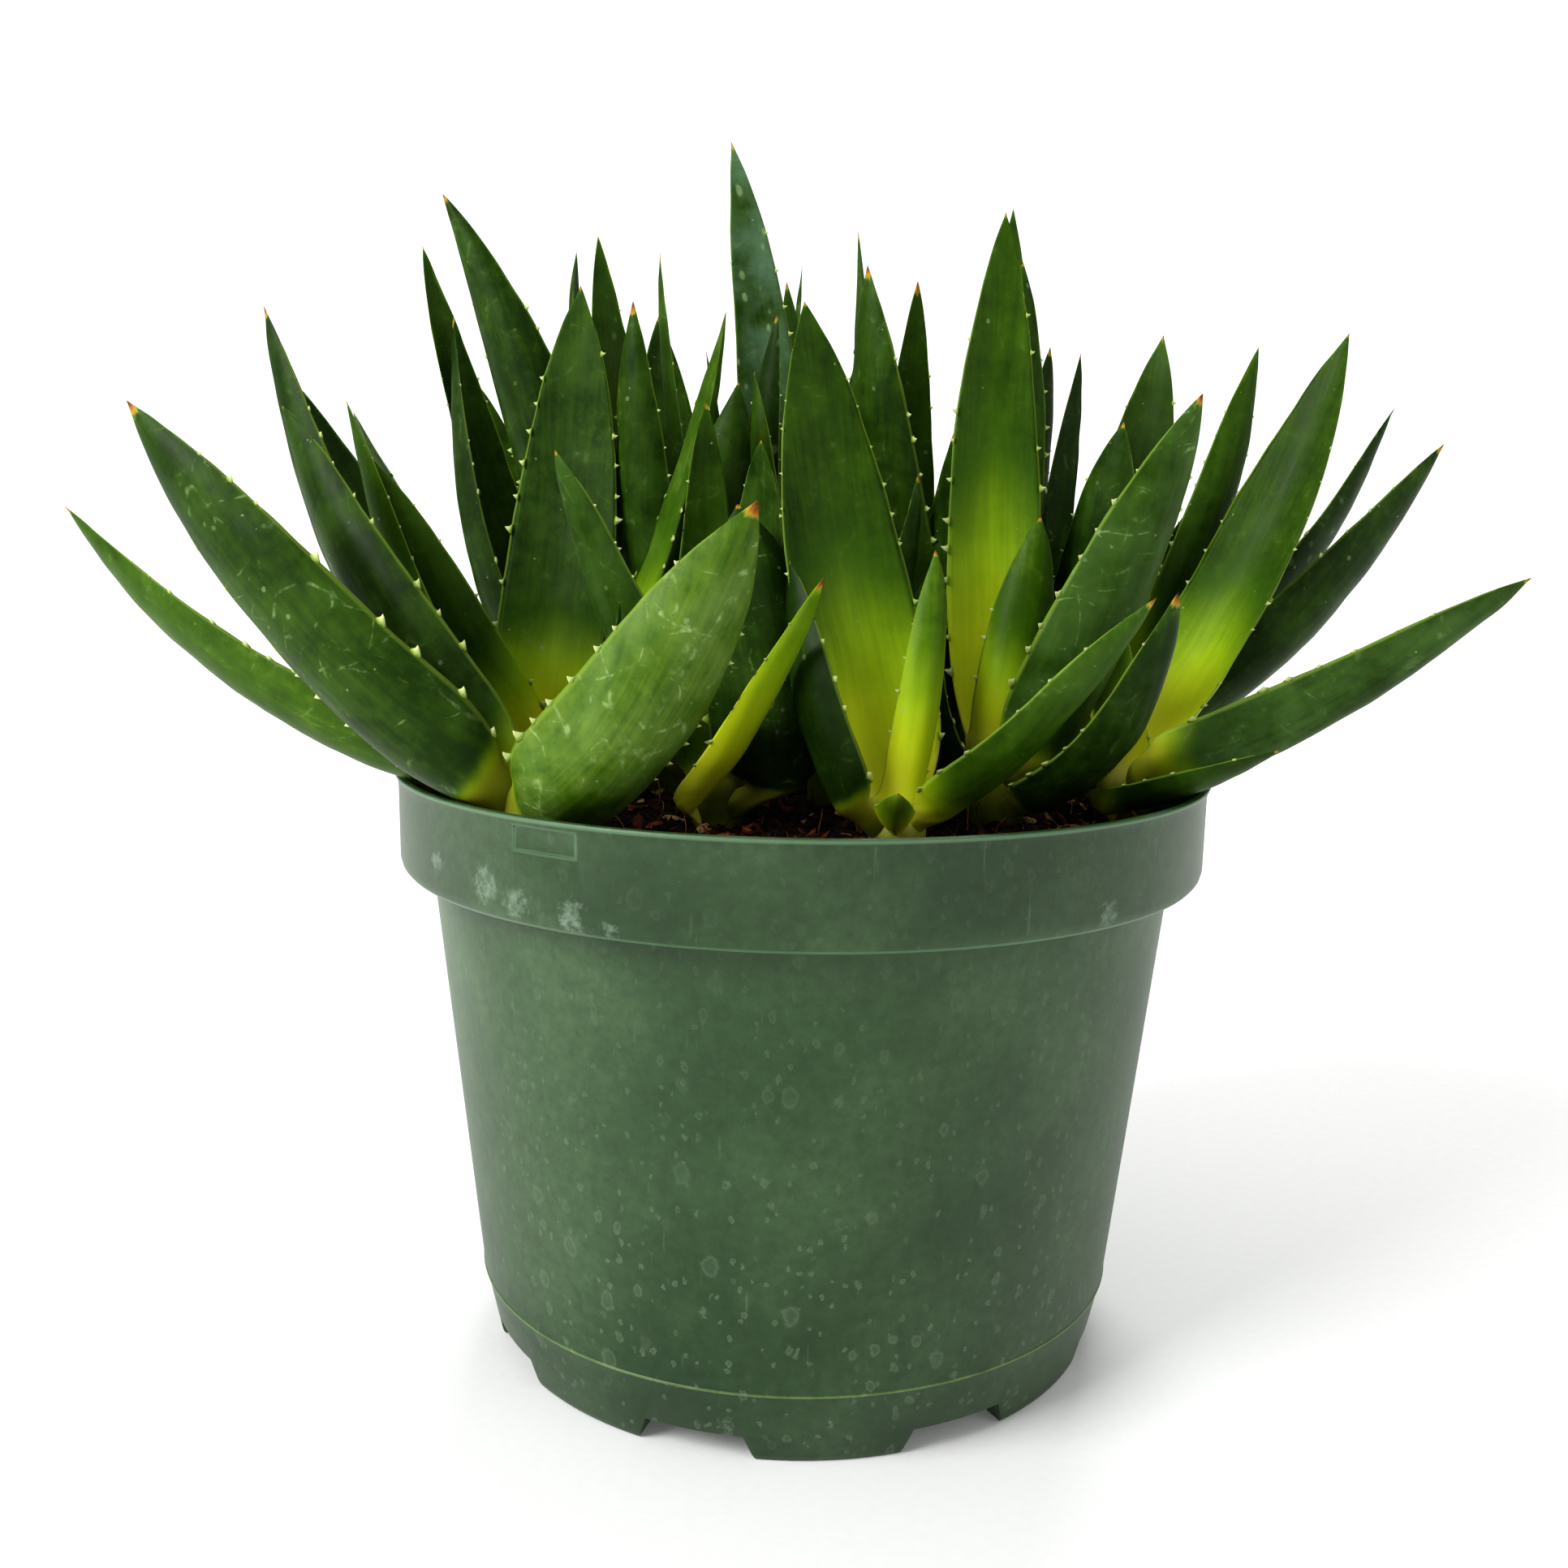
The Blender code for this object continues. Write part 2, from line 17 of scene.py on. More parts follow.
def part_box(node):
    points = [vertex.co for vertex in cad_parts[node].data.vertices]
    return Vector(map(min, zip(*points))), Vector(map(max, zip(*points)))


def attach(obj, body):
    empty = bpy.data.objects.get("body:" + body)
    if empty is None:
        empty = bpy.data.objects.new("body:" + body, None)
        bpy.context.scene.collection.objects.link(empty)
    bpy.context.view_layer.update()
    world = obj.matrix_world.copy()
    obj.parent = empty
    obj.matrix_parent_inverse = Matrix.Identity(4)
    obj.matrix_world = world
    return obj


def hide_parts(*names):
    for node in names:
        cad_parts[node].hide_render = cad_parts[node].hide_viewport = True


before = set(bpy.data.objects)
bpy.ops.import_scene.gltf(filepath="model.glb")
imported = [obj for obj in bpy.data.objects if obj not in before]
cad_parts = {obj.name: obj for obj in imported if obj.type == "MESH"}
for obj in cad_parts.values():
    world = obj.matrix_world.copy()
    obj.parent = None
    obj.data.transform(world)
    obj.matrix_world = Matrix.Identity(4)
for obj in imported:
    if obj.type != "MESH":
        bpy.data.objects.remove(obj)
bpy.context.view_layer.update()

# ---------------------------------------------------------------- the pot
# A six-inch pot moulded in green polypropylene: a plain tapered body with a stiffening band below the lip,
# a seam left by the parts of its mould, and a foot ring notched eight times so that water can drain.
# It has stood in a greenhouse, so hard water has dried on it in rings, drips and crusts.

MM = 0.001
POT_LOW, POT_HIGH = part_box("pot")
RIM_RADIUS = (POT_HIGH.x - POT_LOW.x) / 2
POT_HEIGHT = POT_HIGH.z
WALL = 1.3 * MM
LIP_ROUNDING = 0.45 * MM
BAND_FOOT = POT_HEIGHT - 17.5 * MM
BAND_FOOT_RADIUS = RIM_RADIUS - 1.3 * MM
BODY_TOP_RADIUS = RIM_RADIUS - 6.3 * MM
SEAM_HEIGHT = 13.1 * MM
SEAM_RADIUS = RIM_RADIUS - 14.4 * MM
FOOT_RADIUS = RIM_RADIUS - 17.4 * MM
FOOT_INNER_RADIUS = RIM_RADIUS - 27.2 * MM
FLOOR_UNDERSIDE = 4.8 * MM
POT_SIDES = 160
NOTCHES = 8
NOTCH_FIRST = math.radians(-106)
NOTCH_WIDTH = 17 * MM
NOTCH_HEIGHT = 4.6 * MM
NOTCH_SPLAY = 1.18  # how much wider the notch is at the table
NOTCH_REACH = 24 * MM  # more than the foot ring is thick
LABEL_AZIMUTH = math.radians(-121.3)  # where a slot for a plant label is marked in the mould
LABEL_WIDTH = 12 * MM
LABEL_FOOT = POT_HEIGHT - 5.4 * MM
LABEL_TOP = POT_HEIGHT - 1.6 * MM
LABEL_DEPTH = 0.3 * MM
LABEL_CUTTER = 5 * MM  # how far the cutter of the label's recess stands out of the wall
EDGE_ROUNDING = 0.3 * MM


def nothing_selected():
    """Object mode, with no object selected."""
    if bpy.context.mode != "OBJECT":
        bpy.ops.object.mode_set(mode="OBJECT")
    bpy.ops.object.select_all(action="DESELECT")


def take_up(piece):
    """Makes a piece the only one selected, and the active one."""
    nothing_selected()
    piece.select_set(True)
    bpy.context.view_layer.objects.active = piece


def apply_modifier(piece, kind, **settings):
    """Adds a modifier with its settings, and applies it."""
    take_up(piece)
    modifier = piece.modifiers.new(kind.lower(), kind)
    for name, value in settings.items():
        setattr(modifier, name, value)
    bpy.ops.object.modifier_apply(modifier=modifier.name)


def turned(name, profile, sides):
    """A closed piece turned about Z: a disc at the profile's first radius and height, extruded to each of
    the others in turn."""
    nothing_selected()
    radius, height = profile[0]
    bpy.ops.mesh.primitive_circle_add(vertices=sides, radius=radius, fill_type="NGON",
                                      location=(0, 0, height))
    piece = bpy.context.object
    piece.name = piece.data.name = name
    bpy.ops.object.transform_apply()
    bpy.ops.object.mode_set(mode="EDIT")
    bpy.ops.mesh.select_mode(type="FACE")
    bpy.ops.mesh.select_all(action="SELECT")
    for next_radius, next_height in profile[1:]:
        bpy.ops.mesh.extrude_region_move(TRANSFORM_OT_translate={"value": (0, 0, next_height - height)})
        ratio = next_radius / radius
        bpy.ops.transform.resize(value=(ratio, ratio, 1), center_override=(0, 0, next_height))
        radius, height = next_radius, next_height
    face_outward()
    return piece


def block(name, size, location):
    """A cutter: a box of this size."""
    nothing_selected()
    bpy.ops.mesh.primitive_cube_add(size=1, location=location)
    cutter = bpy.context.object
    cutter.name = name
    cutter.scale = size
    bpy.ops.object.transform_apply()
    return cutter


def set_round(piece, azimuth):
    """Turns a piece about the pot's axis to its azimuth."""
    take_up(piece)
    piece.rotation_euler.z = azimuth
    bpy.ops.object.transform_apply()


def edit_whole():
    """Edit mode, with the whole of the active piece selected."""
    bpy.ops.object.mode_set(mode="EDIT")
    bpy.ops.mesh.select_all(action="SELECT")


def face_outward():
    """Turns every face of the piece that is being edited outward, and ends the editing."""
    bpy.ops.mesh.select_all(action="SELECT")
    bpy.ops.mesh.normals_make_consistent(inside=False)
    bpy.ops.object.mode_set(mode="OBJECT")


def cut_away(piece, cutter):
    """Cuts the cutter's space out of a piece, and removes the cutter."""
    apply_modifier(piece, "BOOLEAN", operation="DIFFERENCE", solver="EXACT", object=cutter)
    bpy.data.objects.remove(cutter, do_unlink=True)


def smooth(piece, degrees):
    """Smooth shading, but for edges that fold by more than so many degrees."""
    take_up(piece)
    bpy.ops.object.shade_smooth_by_angle(angle=math.radians(degrees))


def linear(code):
    """A colour given as sRGB hex, in linear light."""
    parts = [int(code[i:i + 2], 16) / 255 for i in (1, 3, 5)]
    return [p / 12.92 if p <= 0.04045 else ((p + 0.055) / 1.055) ** 2.4 for p in parts] + [1.0]


def connect(tree, node, inputs):
    """Sets a node's inputs to values, or to the outputs of other nodes."""
    for name, value in inputs.items():
        socket = node.inputs[name] if isinstance(name, int) else next(
            s for s in node.inputs if s.name == name and s.enabled)
        if isinstance(value, bpy.types.Node):
            value = next(s for s in value.outputs if s.enabled)
        if isinstance(value, bpy.types.NodeSocket):
            tree.links.new(value, socket)
        else:
            socket.default_value = value


def add(tree, kind, inputs=None, **settings):
    """Adds a shader node with its settings and its inputs."""
    node = tree.nodes.new("ShaderNode" + kind)
    for name, value in settings.items():
        setattr(node, name, value)
    connect(tree, node, inputs or {})
    return node


def ramp(tree, value, *stops):
    """Colours a value by a ramp. A stop is the value and the colour there."""
    node = add(tree, "ValToRGB", {"Fac": value})
    elements = node.color_ramp.elements
    for number, (place, colour) in enumerate(stops):
        element = elements[number] if number < 2 else elements.new(place)
        element.position = place
        element.color = linear(colour)
    return node


def compute(tree, operation, *values, **settings):
    """One sum, done on these values in their order."""
    return add(tree, "Math", dict(enumerate(values)), operation=operation, **settings)


def times(tree, value, other):
    """The product of two values."""
    return compute(tree, "MULTIPLY", value, other)


def apart(tree, value, other):
    """How far apart two values are."""
    return compute(tree, "ABSOLUTE", compute(tree, "SUBTRACT", value, other))


def sway(tree, value, pattern, weight):
    """A value pushed up and down by a pattern."""
    centred = compute(tree, "SUBTRACT", pattern, 0.5)
    return compute(tree, "MULTIPLY_ADD", centred, weight, value)


def larger(tree, former, value):
    """The larger of two values, or the second where there is no former one."""
    return value if former is None else compute(tree, "MAXIMUM", former, value)


def remap(tree, value, old, new=(0, 1), eased=False):
    """A value moved from the old range to the new one, and held inside it."""
    return add(tree, "MapRange", {"Value": value, "From Min": old[0], "From Max": old[1],
                                  "To Min": new[0], "To Max": new[1]},
               interpolation_type="SMOOTHSTEP" if eased else "LINEAR")


def lumpy(tree, vector, size, detail=2, roughness=0.5):
    """Cloudy noise with lumps of about this size."""
    return add(tree, "TexNoise", {"Vector": vector, "Scale": 1 / size, "Detail": detail,
                                  "Roughness": roughness})


def stray(tree, vector, pattern, reach):
    """Places that stray by up to this reach, as the colours of a pattern say."""
    astray = add(tree, "VectorMath", {0: pattern.outputs["Color"], 1: (reach, reach, reach)},
                 operation="MULTIPLY")
    return add(tree, "VectorMath", {0: vector, 1: astray}, operation="ADD")


def blend(tree, share, under, over, how="MIX"):
    """Two colours mixed."""
    return add(tree, "Mix", {"Factor": share, "A": under, "B": over}, data_type="RGBA", blend_type=how)


def new_material(name, constants):
    """A material of one Principled shader, with the values that are the same all over it."""
    material = bpy.data.materials.new(name)
    material.use_nodes = True
    tree = material.node_tree
    shader = tree.nodes["Principled BSDF"]
    connect(tree, shader, constants)
    return material, tree, shader


def hand_over(piece, material_slot, *nodes):
    """The piece rides on the pot's one body, and stands for these CAD nodes."""
    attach(piece, "root")
    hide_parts(*nodes)


def pot_wall():
    """The profile up the inside from the floor, over the lip, down the outside and under the foot."""
    return [
        (SEAM_RADIUS - WALL - 5 * MM, FLOOR_UNDERSIDE + WALL),
        (SEAM_RADIUS - WALL - 1.6 * MM, FLOOR_UNDERSIDE + WALL + 1.4 * MM),
        (SEAM_RADIUS - WALL, SEAM_HEIGHT),
        (BODY_TOP_RADIUS - WALL, BAND_FOOT + WALL),
        (BAND_FOOT_RADIUS - WALL - 0.8 * MM, BAND_FOOT + WALL),
        (BAND_FOOT_RADIUS - WALL, BAND_FOOT + WALL + 0.8 * MM),
        (RIM_RADIUS - WALL, POT_HEIGHT - LIP_ROUNDING),
        (RIM_RADIUS - WALL + 0.15 * MM, POT_HEIGHT - 0.12 * MM),
        (RIM_RADIUS - WALL + LIP_ROUNDING, POT_HEIGHT),
        (RIM_RADIUS - LIP_ROUNDING, POT_HEIGHT),
        (RIM_RADIUS - 0.12 * MM, POT_HEIGHT - 0.15 * MM),
        (RIM_RADIUS, POT_HEIGHT - LIP_ROUNDING),
        (RIM_RADIUS - 0.35 * MM, POT_HEIGHT - 1.1 * MM),
        (RIM_RADIUS - 0.6 * MM, POT_HEIGHT - 2.2 * MM),
        (BAND_FOOT_RADIUS + 0.62 * MM, BAND_FOOT + 2.3 * MM),
        (BAND_FOOT_RADIUS + 0.3 * MM, BAND_FOOT + 1.1 * MM),
        (BAND_FOOT_RADIUS - 0.35 * MM, BAND_FOOT + 0.35 * MM),
        (BAND_FOOT_RADIUS - 1.3 * MM, BAND_FOOT + 0.02 * MM),
        (BODY_TOP_RADIUS + 0.5 * MM, BAND_FOOT),
        (BODY_TOP_RADIUS, BAND_FOOT - 0.5 * MM),
        (SEAM_RADIUS + 0.08 * MM, SEAM_HEIGHT + 0.35 * MM),
        (SEAM_RADIUS + 0.22 * MM, SEAM_HEIGHT + 0.22 * MM),
        (SEAM_RADIUS + 0.22 * MM, SEAM_HEIGHT - 0.05 * MM),
        (SEAM_RADIUS - 0.15 * MM, SEAM_HEIGHT - 0.25 * MM),
        (SEAM_RADIUS - 0.6 * MM, SEAM_HEIGHT - 2.5 * MM),
        (FOOT_RADIUS + 0.35 * MM, 1.2 * MM),
        (FOOT_RADIUS, 0.35 * MM),
        (FOOT_RADIUS - 0.4 * MM, 0.0),
        (FOOT_INNER_RADIUS + 0.4 * MM, 0.0),
        (FOOT_INNER_RADIUS, 0.3 * MM),
        (FOOT_INNER_RADIUS - 0.8 * MM, FLOOR_UNDERSIDE),
    ]


pot = turned("nursery_pot", pot_wall(), POT_SIDES)
for number in range(NOTCHES):
    turn = NOTCH_FIRST + number * math.tau / NOTCHES
    reach = (FOOT_RADIUS + FOOT_INNER_RADIUS) / 2
    cutter = block("notch", (NOTCH_REACH, NOTCH_WIDTH, 2 * NOTCH_HEIGHT), (reach, 0, 0))
    bpy.ops.object.mode_set(mode="EDIT")
    bpy.ops.mesh.select_mode(type="FACE")
    bpy.ops.mesh.select_all(action="DESELECT")
    low = min(bmesh.from_edit_mesh(cutter.data).faces, key=lambda face: face.calc_center_median().z)
    low.select_set(True)
    bpy.ops.transform.resize(value=(1, NOTCH_SPLAY ** 2, 1), center_override=(reach, 0, 0))
    bpy.ops.object.mode_set(mode="OBJECT")
    set_round(cutter, turn)
    cut_away(pot, cutter)
reach = RIM_RADIUS - 0.65 * MM - LABEL_DEPTH
cutter = block("label_mark", (LABEL_CUTTER, LABEL_WIDTH, LABEL_TOP - LABEL_FOOT),
               (reach + LABEL_CUTTER / 2, 0, (LABEL_TOP + LABEL_FOOT) / 2))
set_round(cutter, LABEL_AZIMUTH)
cut_away(pot, cutter)
apply_modifier(pot, "BEVEL", width=EDGE_ROUNDING, segments=2, limit_method="ANGLE",
               angle_limit=math.radians(50))
smooth(pot, 35)

# Moulded polypropylene: a satin skin with the fine grain of the mould, in which the light spreads softly.
# It is painted darker towards the foot as painted shade, and darker on the band, and the dried water is paler
# and rougher.
# A crust is its azimuth in degrees, and its height and its reach in mm.
CRUSTS = ((-142.7, 96.4, 2.6), (-131.2, 95.0, 3.4), (-126.0, 93.2, 3.2), (-117.5, 92.0, 3.6),
          (-112.0, 91.2, 2.0), (-49.8, 92.6, 2.6), (-100.0, 6.4, 2.2), (35.0, 93.0, 4.0),
          (110.0, 92.0, 3.0), (160.0, 8.0, 2.5))
plastic, tree, shader = new_material("moulded_polypropylene", {"IOR": 1.49, "Specular IOR Level": 0.45})
where = add(tree, "TexCoord").outputs["Object"]
height = add(tree, "SeparateXYZ", {"Vector": where}).outputs["Z"]
cloud = lumpy(tree, where, 30 * MM, detail=3, roughness=0.5)
mottle = lumpy(tree, where, 2.4 * MM, detail=5, roughness=0.7)
grain = lumpy(tree, where, 0.5 * MM, detail=2)
green = ramp(tree, cloud, (0.3, "#2f4c29"), (0.7, "#38572f"))
fine = ramp(tree, mottle, (0.35, "#c6d0c2"), (0.65, "#ffffff"))
green = blend(tree, 0.7, green, fine, "MULTIPLY")
# Painted shade: the colour is multiplied darker towards the foot, and darker again on the band
painted_shade_by_height = compute(tree, "DIVIDE", height, POT_HEIGHT)
painted_shade_by_height = ramp(tree, painted_shade_by_height, (0.0, "#c2d6c0"), (0.7, "#ffffff"), (0.83, "#ffffff"), (0.87, "#d6e1d4"))
green = blend(tree, 1.0, green, painted_shade_by_height, "MULTIPLY")
film = remap(tree, cloud, (0.4, 0.75), (0, 0.16))
film = times(tree, film, mottle)
hazed = blend(tree, film, green, linear("#93a888"))
# Rain and hose water ran down and dried: drops in three sizes, most of them low on the body
washed = remap(tree, height, (88 * MM, 30 * MM), (0.25, 1))
stretched = add(tree, "Mapping", {"Vector": where, "Scale": (1.0, 1.0, 0.72)})
wobble = stray(tree, stretched, mottle, 2.2 * MM)
marks = None
for cell, share, strength in ((6.0, 0.4, 0.13), (3.4, 0.5, 0.17), (1.8, 0.5, 0.24)):
    cells = add(tree, "TexVoronoi", {"Vector": wobble, "Scale": 1 / (cell * MM)})
    ring = ramp(tree, cells.outputs["Distance"],
                (0.0, "#b0b0b0"), (0.12, "#a0a0a0"), (0.2, "#ffffff"), (0.24, "#707070"), (0.3, "#000000"))
    lot = add(tree, "SeparateColor", {"Color": cells.outputs["Color"]})
    kept = remap(tree, lot.outputs["Red"], (share, share - 0.2), (0, strength))
    mark = times(tree, ring, kept)
    marks = larger(tree, marks, mark)
marks = times(tree, marks, washed)
runs = add(tree, "Mapping", {"Vector": where, "Scale": (1 / (1.1 * MM), 1 / (1.1 * MM), 1 / (14 * MM))})
runs = lumpy(tree, runs, 1, detail=3)
runs = remap(tree, runs, (0.68, 0.8), (0, 0.12))
marks = compute(tree, "MAXIMUM", marks, runs)
spotted = blend(tree, marks, hazed, linear("#a4b79d"))
near_crust = None
for azimuth, level, reach in CRUSTS:
    turn = math.radians(azimuth)
    radius = RIM_RADIUS if level * MM > BAND_FOOT else SEAM_RADIUS
    spot = (radius * math.cos(turn), radius * math.sin(turn), level * MM)
    away = add(tree, "VectorMath", {0: where, 1: spot}, operation="DISTANCE").outputs["Value"]
    close = remap(tree, away, (1.5 * reach * MM, 0.4 * reach * MM))
    near_crust = larger(tree, near_crust, close)
crust = lumpy(tree, where, 1.8 * MM, detail=5, roughness=0.75)
crust = compute(tree, "MULTIPLY_ADD", near_crust, 0.34, crust)
crust = remap(tree, crust, (0.7, 0.95), (0, 0.45))
crusted = blend(tree, crust, spotted, linear("#9fb3a0"))
# The flash of the mould's parting line; painted highlights along the edges of the lip and the foot of the
# band, and a pale outline round the label's recess
off_seam = apart(tree, height, SEAM_HEIGHT + 0.05 * MM)
seam = remap(tree, off_seam, (0.34 * MM, 0.1 * MM), (0, 0.6))
flash = times(tree, mottle, seam)
flash = compute(tree, "MULTIPLY", flash, 1.5, use_clamp=True)
seamed = blend(tree, flash, crusted, linear("#86a85c"))
# Painted highlights: pale lines along the lip and along the foot of the band
edge_highlight_and_label_outline = None
for edge, reach in ((POT_HEIGHT - 0.5 * MM, 0.45 * MM), (BAND_FOOT + 0.4 * MM, 0.5 * MM)):
    off = apart(tree, height, edge)
    off = remap(tree, off, (reach, 0.3 * reach), (0, 0.55))
    edge_highlight_and_label_outline = larger(tree, edge_highlight_and_label_outline, off)
turn = add(tree, "SeparateXYZ", {"Vector": where})
turn = compute(tree, "ARCTAN2", turn.outputs["Y"], turn.outputs["X"])
off = None
for spot, middle, unit, half in ((turn, LABEL_AZIMUTH, RIM_RADIUS, LABEL_WIDTH / 2),
                                 (height, (LABEL_TOP + LABEL_FOOT) / 2, 1.0, (LABEL_TOP - LABEL_FOOT) / 2)):
    beyond = apart(tree, spot, middle)
    beyond = compute(tree, "MULTIPLY_ADD", beyond, unit, -half)
    off = larger(tree, off, beyond)
off = compute(tree, "ABSOLUTE", off)
off = remap(tree, off, (0.4 * MM, 0.15 * MM), (0, 0.3))
edge_highlight_and_label_outline = compute(tree, "MAXIMUM", edge_highlight_and_label_outline, off)
colour = blend(tree, edge_highlight_and_label_outline, seamed, linear("#6f9470"))
dull = remap(tree, marks, (0, 0.3), (0.4, 0.58))
dull = compute(tree, "MULTIPLY_ADD", crust, 0.3, dull)
relief = compute(tree, "MULTIPLY_ADD", crust, 2.0, grain)
bump = add(tree, "Bump", {"Strength": 0.25, "Distance": 0.1 * MM, "Height": relief})
connect(tree, shader, {"Base Color": colour, "Roughness": dull, "Normal": bump})
pot.data.materials.append(plastic)
hand_over(pot, "pot_green_plastic", "pot")

# ---------------------------------------------------------------- the soil
# Peat that has been watered many times, sunk a finger's breadth below the lip and a little more along the
# wall. Its crumbs, bark chips and fibres lie loose on top.

SOIL_LOW, SOIL_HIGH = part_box("soil")
SOIL_TOP = SOIL_HIGH.z
BAND_SLOPE = (RIM_RADIUS - BAND_FOOT_RADIUS) / (POT_HEIGHT - BAND_FOOT)
SOIL_RADIUS = BAND_FOOT_RADIUS - WALL + (SOIL_TOP - BAND_FOOT) * BAND_SLOPE - 0.5 * MM
SOIL_GRID = 170
SOIL_SINKS_FROM = 0.86  # the share of the way to the wall from which watering has washed the soil lower
SOIL_SINKS_BY = 1.6 * MM
CRUMB_DENTS = 0.9
rng = random.Random(7)
noise.seed_set(7)


def lumps(size, depth=2):
    """A texture of lumps of about this size, for modelling with."""
    texture = bpy.data.textures.new("lumps", "CLOUDS")
    texture.noise_scale = size
    texture.noise_depth = depth
    return texture


nothing_selected()
bpy.ops.mesh.primitive_grid_add(x_subdivisions=SOIL_GRID, y_subdivisions=SOIL_GRID, size=2.04 * SOIL_RADIUS,
                                location=(0, 0, SOIL_TOP - 0.8 * MM))
soil = bpy.context.object
soil.name = soil.data.name = "peat_bed"
bpy.ops.object.transform_apply()
bpy.ops.object.mode_set(mode="EDIT")
shape = bmesh.from_edit_mesh(soil.data)
for vertex in shape.verts:
    vertex.select = vertex.co.xy.length > SOIL_RADIUS
shape.select_flush(True)
shape.select_flush(False)
bpy.ops.mesh.delete(type="VERT")
shape = bmesh.from_edit_mesh(soil.data)
for vertex in shape.verts:
    if vertex.is_boundary:
        vertex.co.xy *= SOIL_RADIUS / vertex.co.xy.length
    edge = max(0.0, vertex.co.xy.length / SOIL_RADIUS - SOIL_SINKS_FROM) / (1 - SOIL_SINKS_FROM)
    vertex.co.z -= SOIL_SINKS_BY * edge ** 2
bpy.ops.mesh.select_all(action="SELECT")
radius = SOIL_RADIUS
for next_radius, height in ((BAND_FOOT_RADIUS - WALL - 0.9 * MM, BAND_FOOT + WALL + 0.3 * MM),
                            (BODY_TOP_RADIUS - WALL - 0.6 * MM, BAND_FOOT + WALL),
                            (SEAM_RADIUS - WALL - 0.6 * MM, SEAM_HEIGHT),
                            (SEAM_RADIUS - WALL - 6 * MM, SOIL_LOW.z)):
    bpy.ops.mesh.extrude_region_move()
    bpy.ops.transform.resize(value=(next_radius / radius, next_radius / radius, 0),
                             center_override=(0, 0, height))
    radius = next_radius
face_outward()
surface = soil.vertex_groups.new(name="surface")
surface.add([v.index for v in soil.data.vertices if v.co.z > SOIL_TOP - 4 * MM], 1.0, "REPLACE")
for size, strength in ((16 * MM, 3.4 * MM), (5 * MM, 2.6 * MM), (2 * MM, 1.3 * MM)):
    apply_modifier(soil, "DISPLACE", texture=lumps(size), strength=strength, mid_level=0.5,
                   direction="Z", texture_coords="GLOBAL", vertex_group="surface")
smooth(soil, 50)


def ground(x, y):
    """The height of the soil at a place."""
    hit, point, _, _ = soil.ray_cast(Vector((x, y, SOIL_TOP + 0.02)), Vector((0, 0, -1)))
    return point.z if hit else SOIL_TOP - 3 * MM


def crumb(size, stretch):
    """One crumb: a small ball pulled long or flat, and dented."""
    nothing_selected()
    bpy.ops.mesh.primitive_ico_sphere_add(subdivisions=1, radius=size / 2)
    made = bpy.context.object
    made.scale = stretch
    bpy.ops.object.transform_apply()
    for vertex in made.data.vertices:
        vertex.co *= 1 + CRUMB_DENTS * noise.noise(vertex.co / size * 2.3 + Vector((rng.random() * 9, 0, 0)))
    return made


def copies(name, samples, places):
    """Copies of the samples in one piece. A place is a sample's number and the matrix that sets it there."""
    shapes = [(np.array([v.co for v in sample.data.vertices]),
               [list(face.vertices) for face in sample.data.polygons]) for sample in samples]
    points, faces, known = [], [], 0
    for number, matrix in places:
        corners, sides = shapes[number]
        matrix = np.array(matrix)
        points.append(corners @ matrix[:3, :3].T + matrix[:3, 3])
        faces += [[known + corner for corner in side] for side in sides]
        known += len(corners)
    mesh = bpy.data.meshes.new(name)
    mesh.from_pydata(np.concatenate(points).tolist(), [], faces)
    piece = bpy.data.objects.new(name, mesh)
    bpy.context.scene.collection.objects.link(piece)
    return piece


def strew(name, samples, number, smallest, largest, sunk, flatness):
    """So many copies of the samples, in any size between these, lying about on the soil."""
    places = []
    for _ in range(number):
        place, turn, size = any_place(sunk), any_turn(flatness), rng.uniform(smallest, largest)
        places.append((rng.randrange(len(samples)),
                       Matrix.Translation(place) @ turn.to_4x4() @ Matrix.Scale(size, 4)))
    piece = copies(name, samples, places)
    for sample in samples:
        bpy.data.objects.remove(sample, do_unlink=True)
    return piece


def any_turn(flatness):
    """A turn about the upright by any angle, and a tilt that is smaller the flatter the thing lies."""
    tilt = (Matrix.Rotation(rng.gauss(0, 1 - flatness), 3, "X")
            @ Matrix.Rotation(rng.gauss(0, 1 - flatness), 3, "Y"))
    return Matrix.Rotation(rng.random() * math.tau, 3, "Z") @ tilt


def any_place(sunk):
    """A point on the soil, so far sunk in it."""
    radius = (SOIL_RADIUS - 2.5 * MM) * math.sqrt(rng.random())
    way = rng.random() * math.tau
    x, y = radius * math.cos(way), radius * math.sin(way)
    return Vector((x, y, ground(x, y) - sunk))


crumbs = strew("peat_crumbs", [crumb(2.4 * MM, (1, 0.8, 0.7)) for _ in range(6)], 4200,
               smallest=0.25, largest=1.2, sunk=0.1 * MM, flatness=0)
chips = strew("bark_chips", [crumb(5 * MM, (1, rng.uniform(0.2, 0.55), 0.2)) for _ in range(6)], 900,
              smallest=0.2, largest=0.95, sunk=-0.5 * MM, flatness=0.5)


def fibre(length, width, curl):
    """A root hair or moss stem: a thin three-sided strand, curled."""
    nothing_selected()
    bpy.ops.mesh.primitive_circle_add(vertices=3, radius=width / 2, fill_type="NGON",
                                      rotation=(0, math.pi / 2, 0))
    made = bpy.context.object
    edit_whole()
    heading = Vector((1, 0, 0))
    for _ in range(6):
        heading = (heading + Vector((0, curl, rng.uniform(-0.25, 0.25)))).normalized()
        bpy.ops.mesh.extrude_region_move(TRANSFORM_OT_translate={"value": heading * length / 6})
        curl += rng.uniform(-0.3, 0.3)
    face_outward()
    return made


fibres = strew("peat_fibres", [fibre(7 * MM, 0.3 * MM, rng.uniform(-0.6, 0.6)) for _ in range(7)], 420,
               smallest=0.3, largest=0.9, sunk=-0.3 * MM, flatness=0.82)

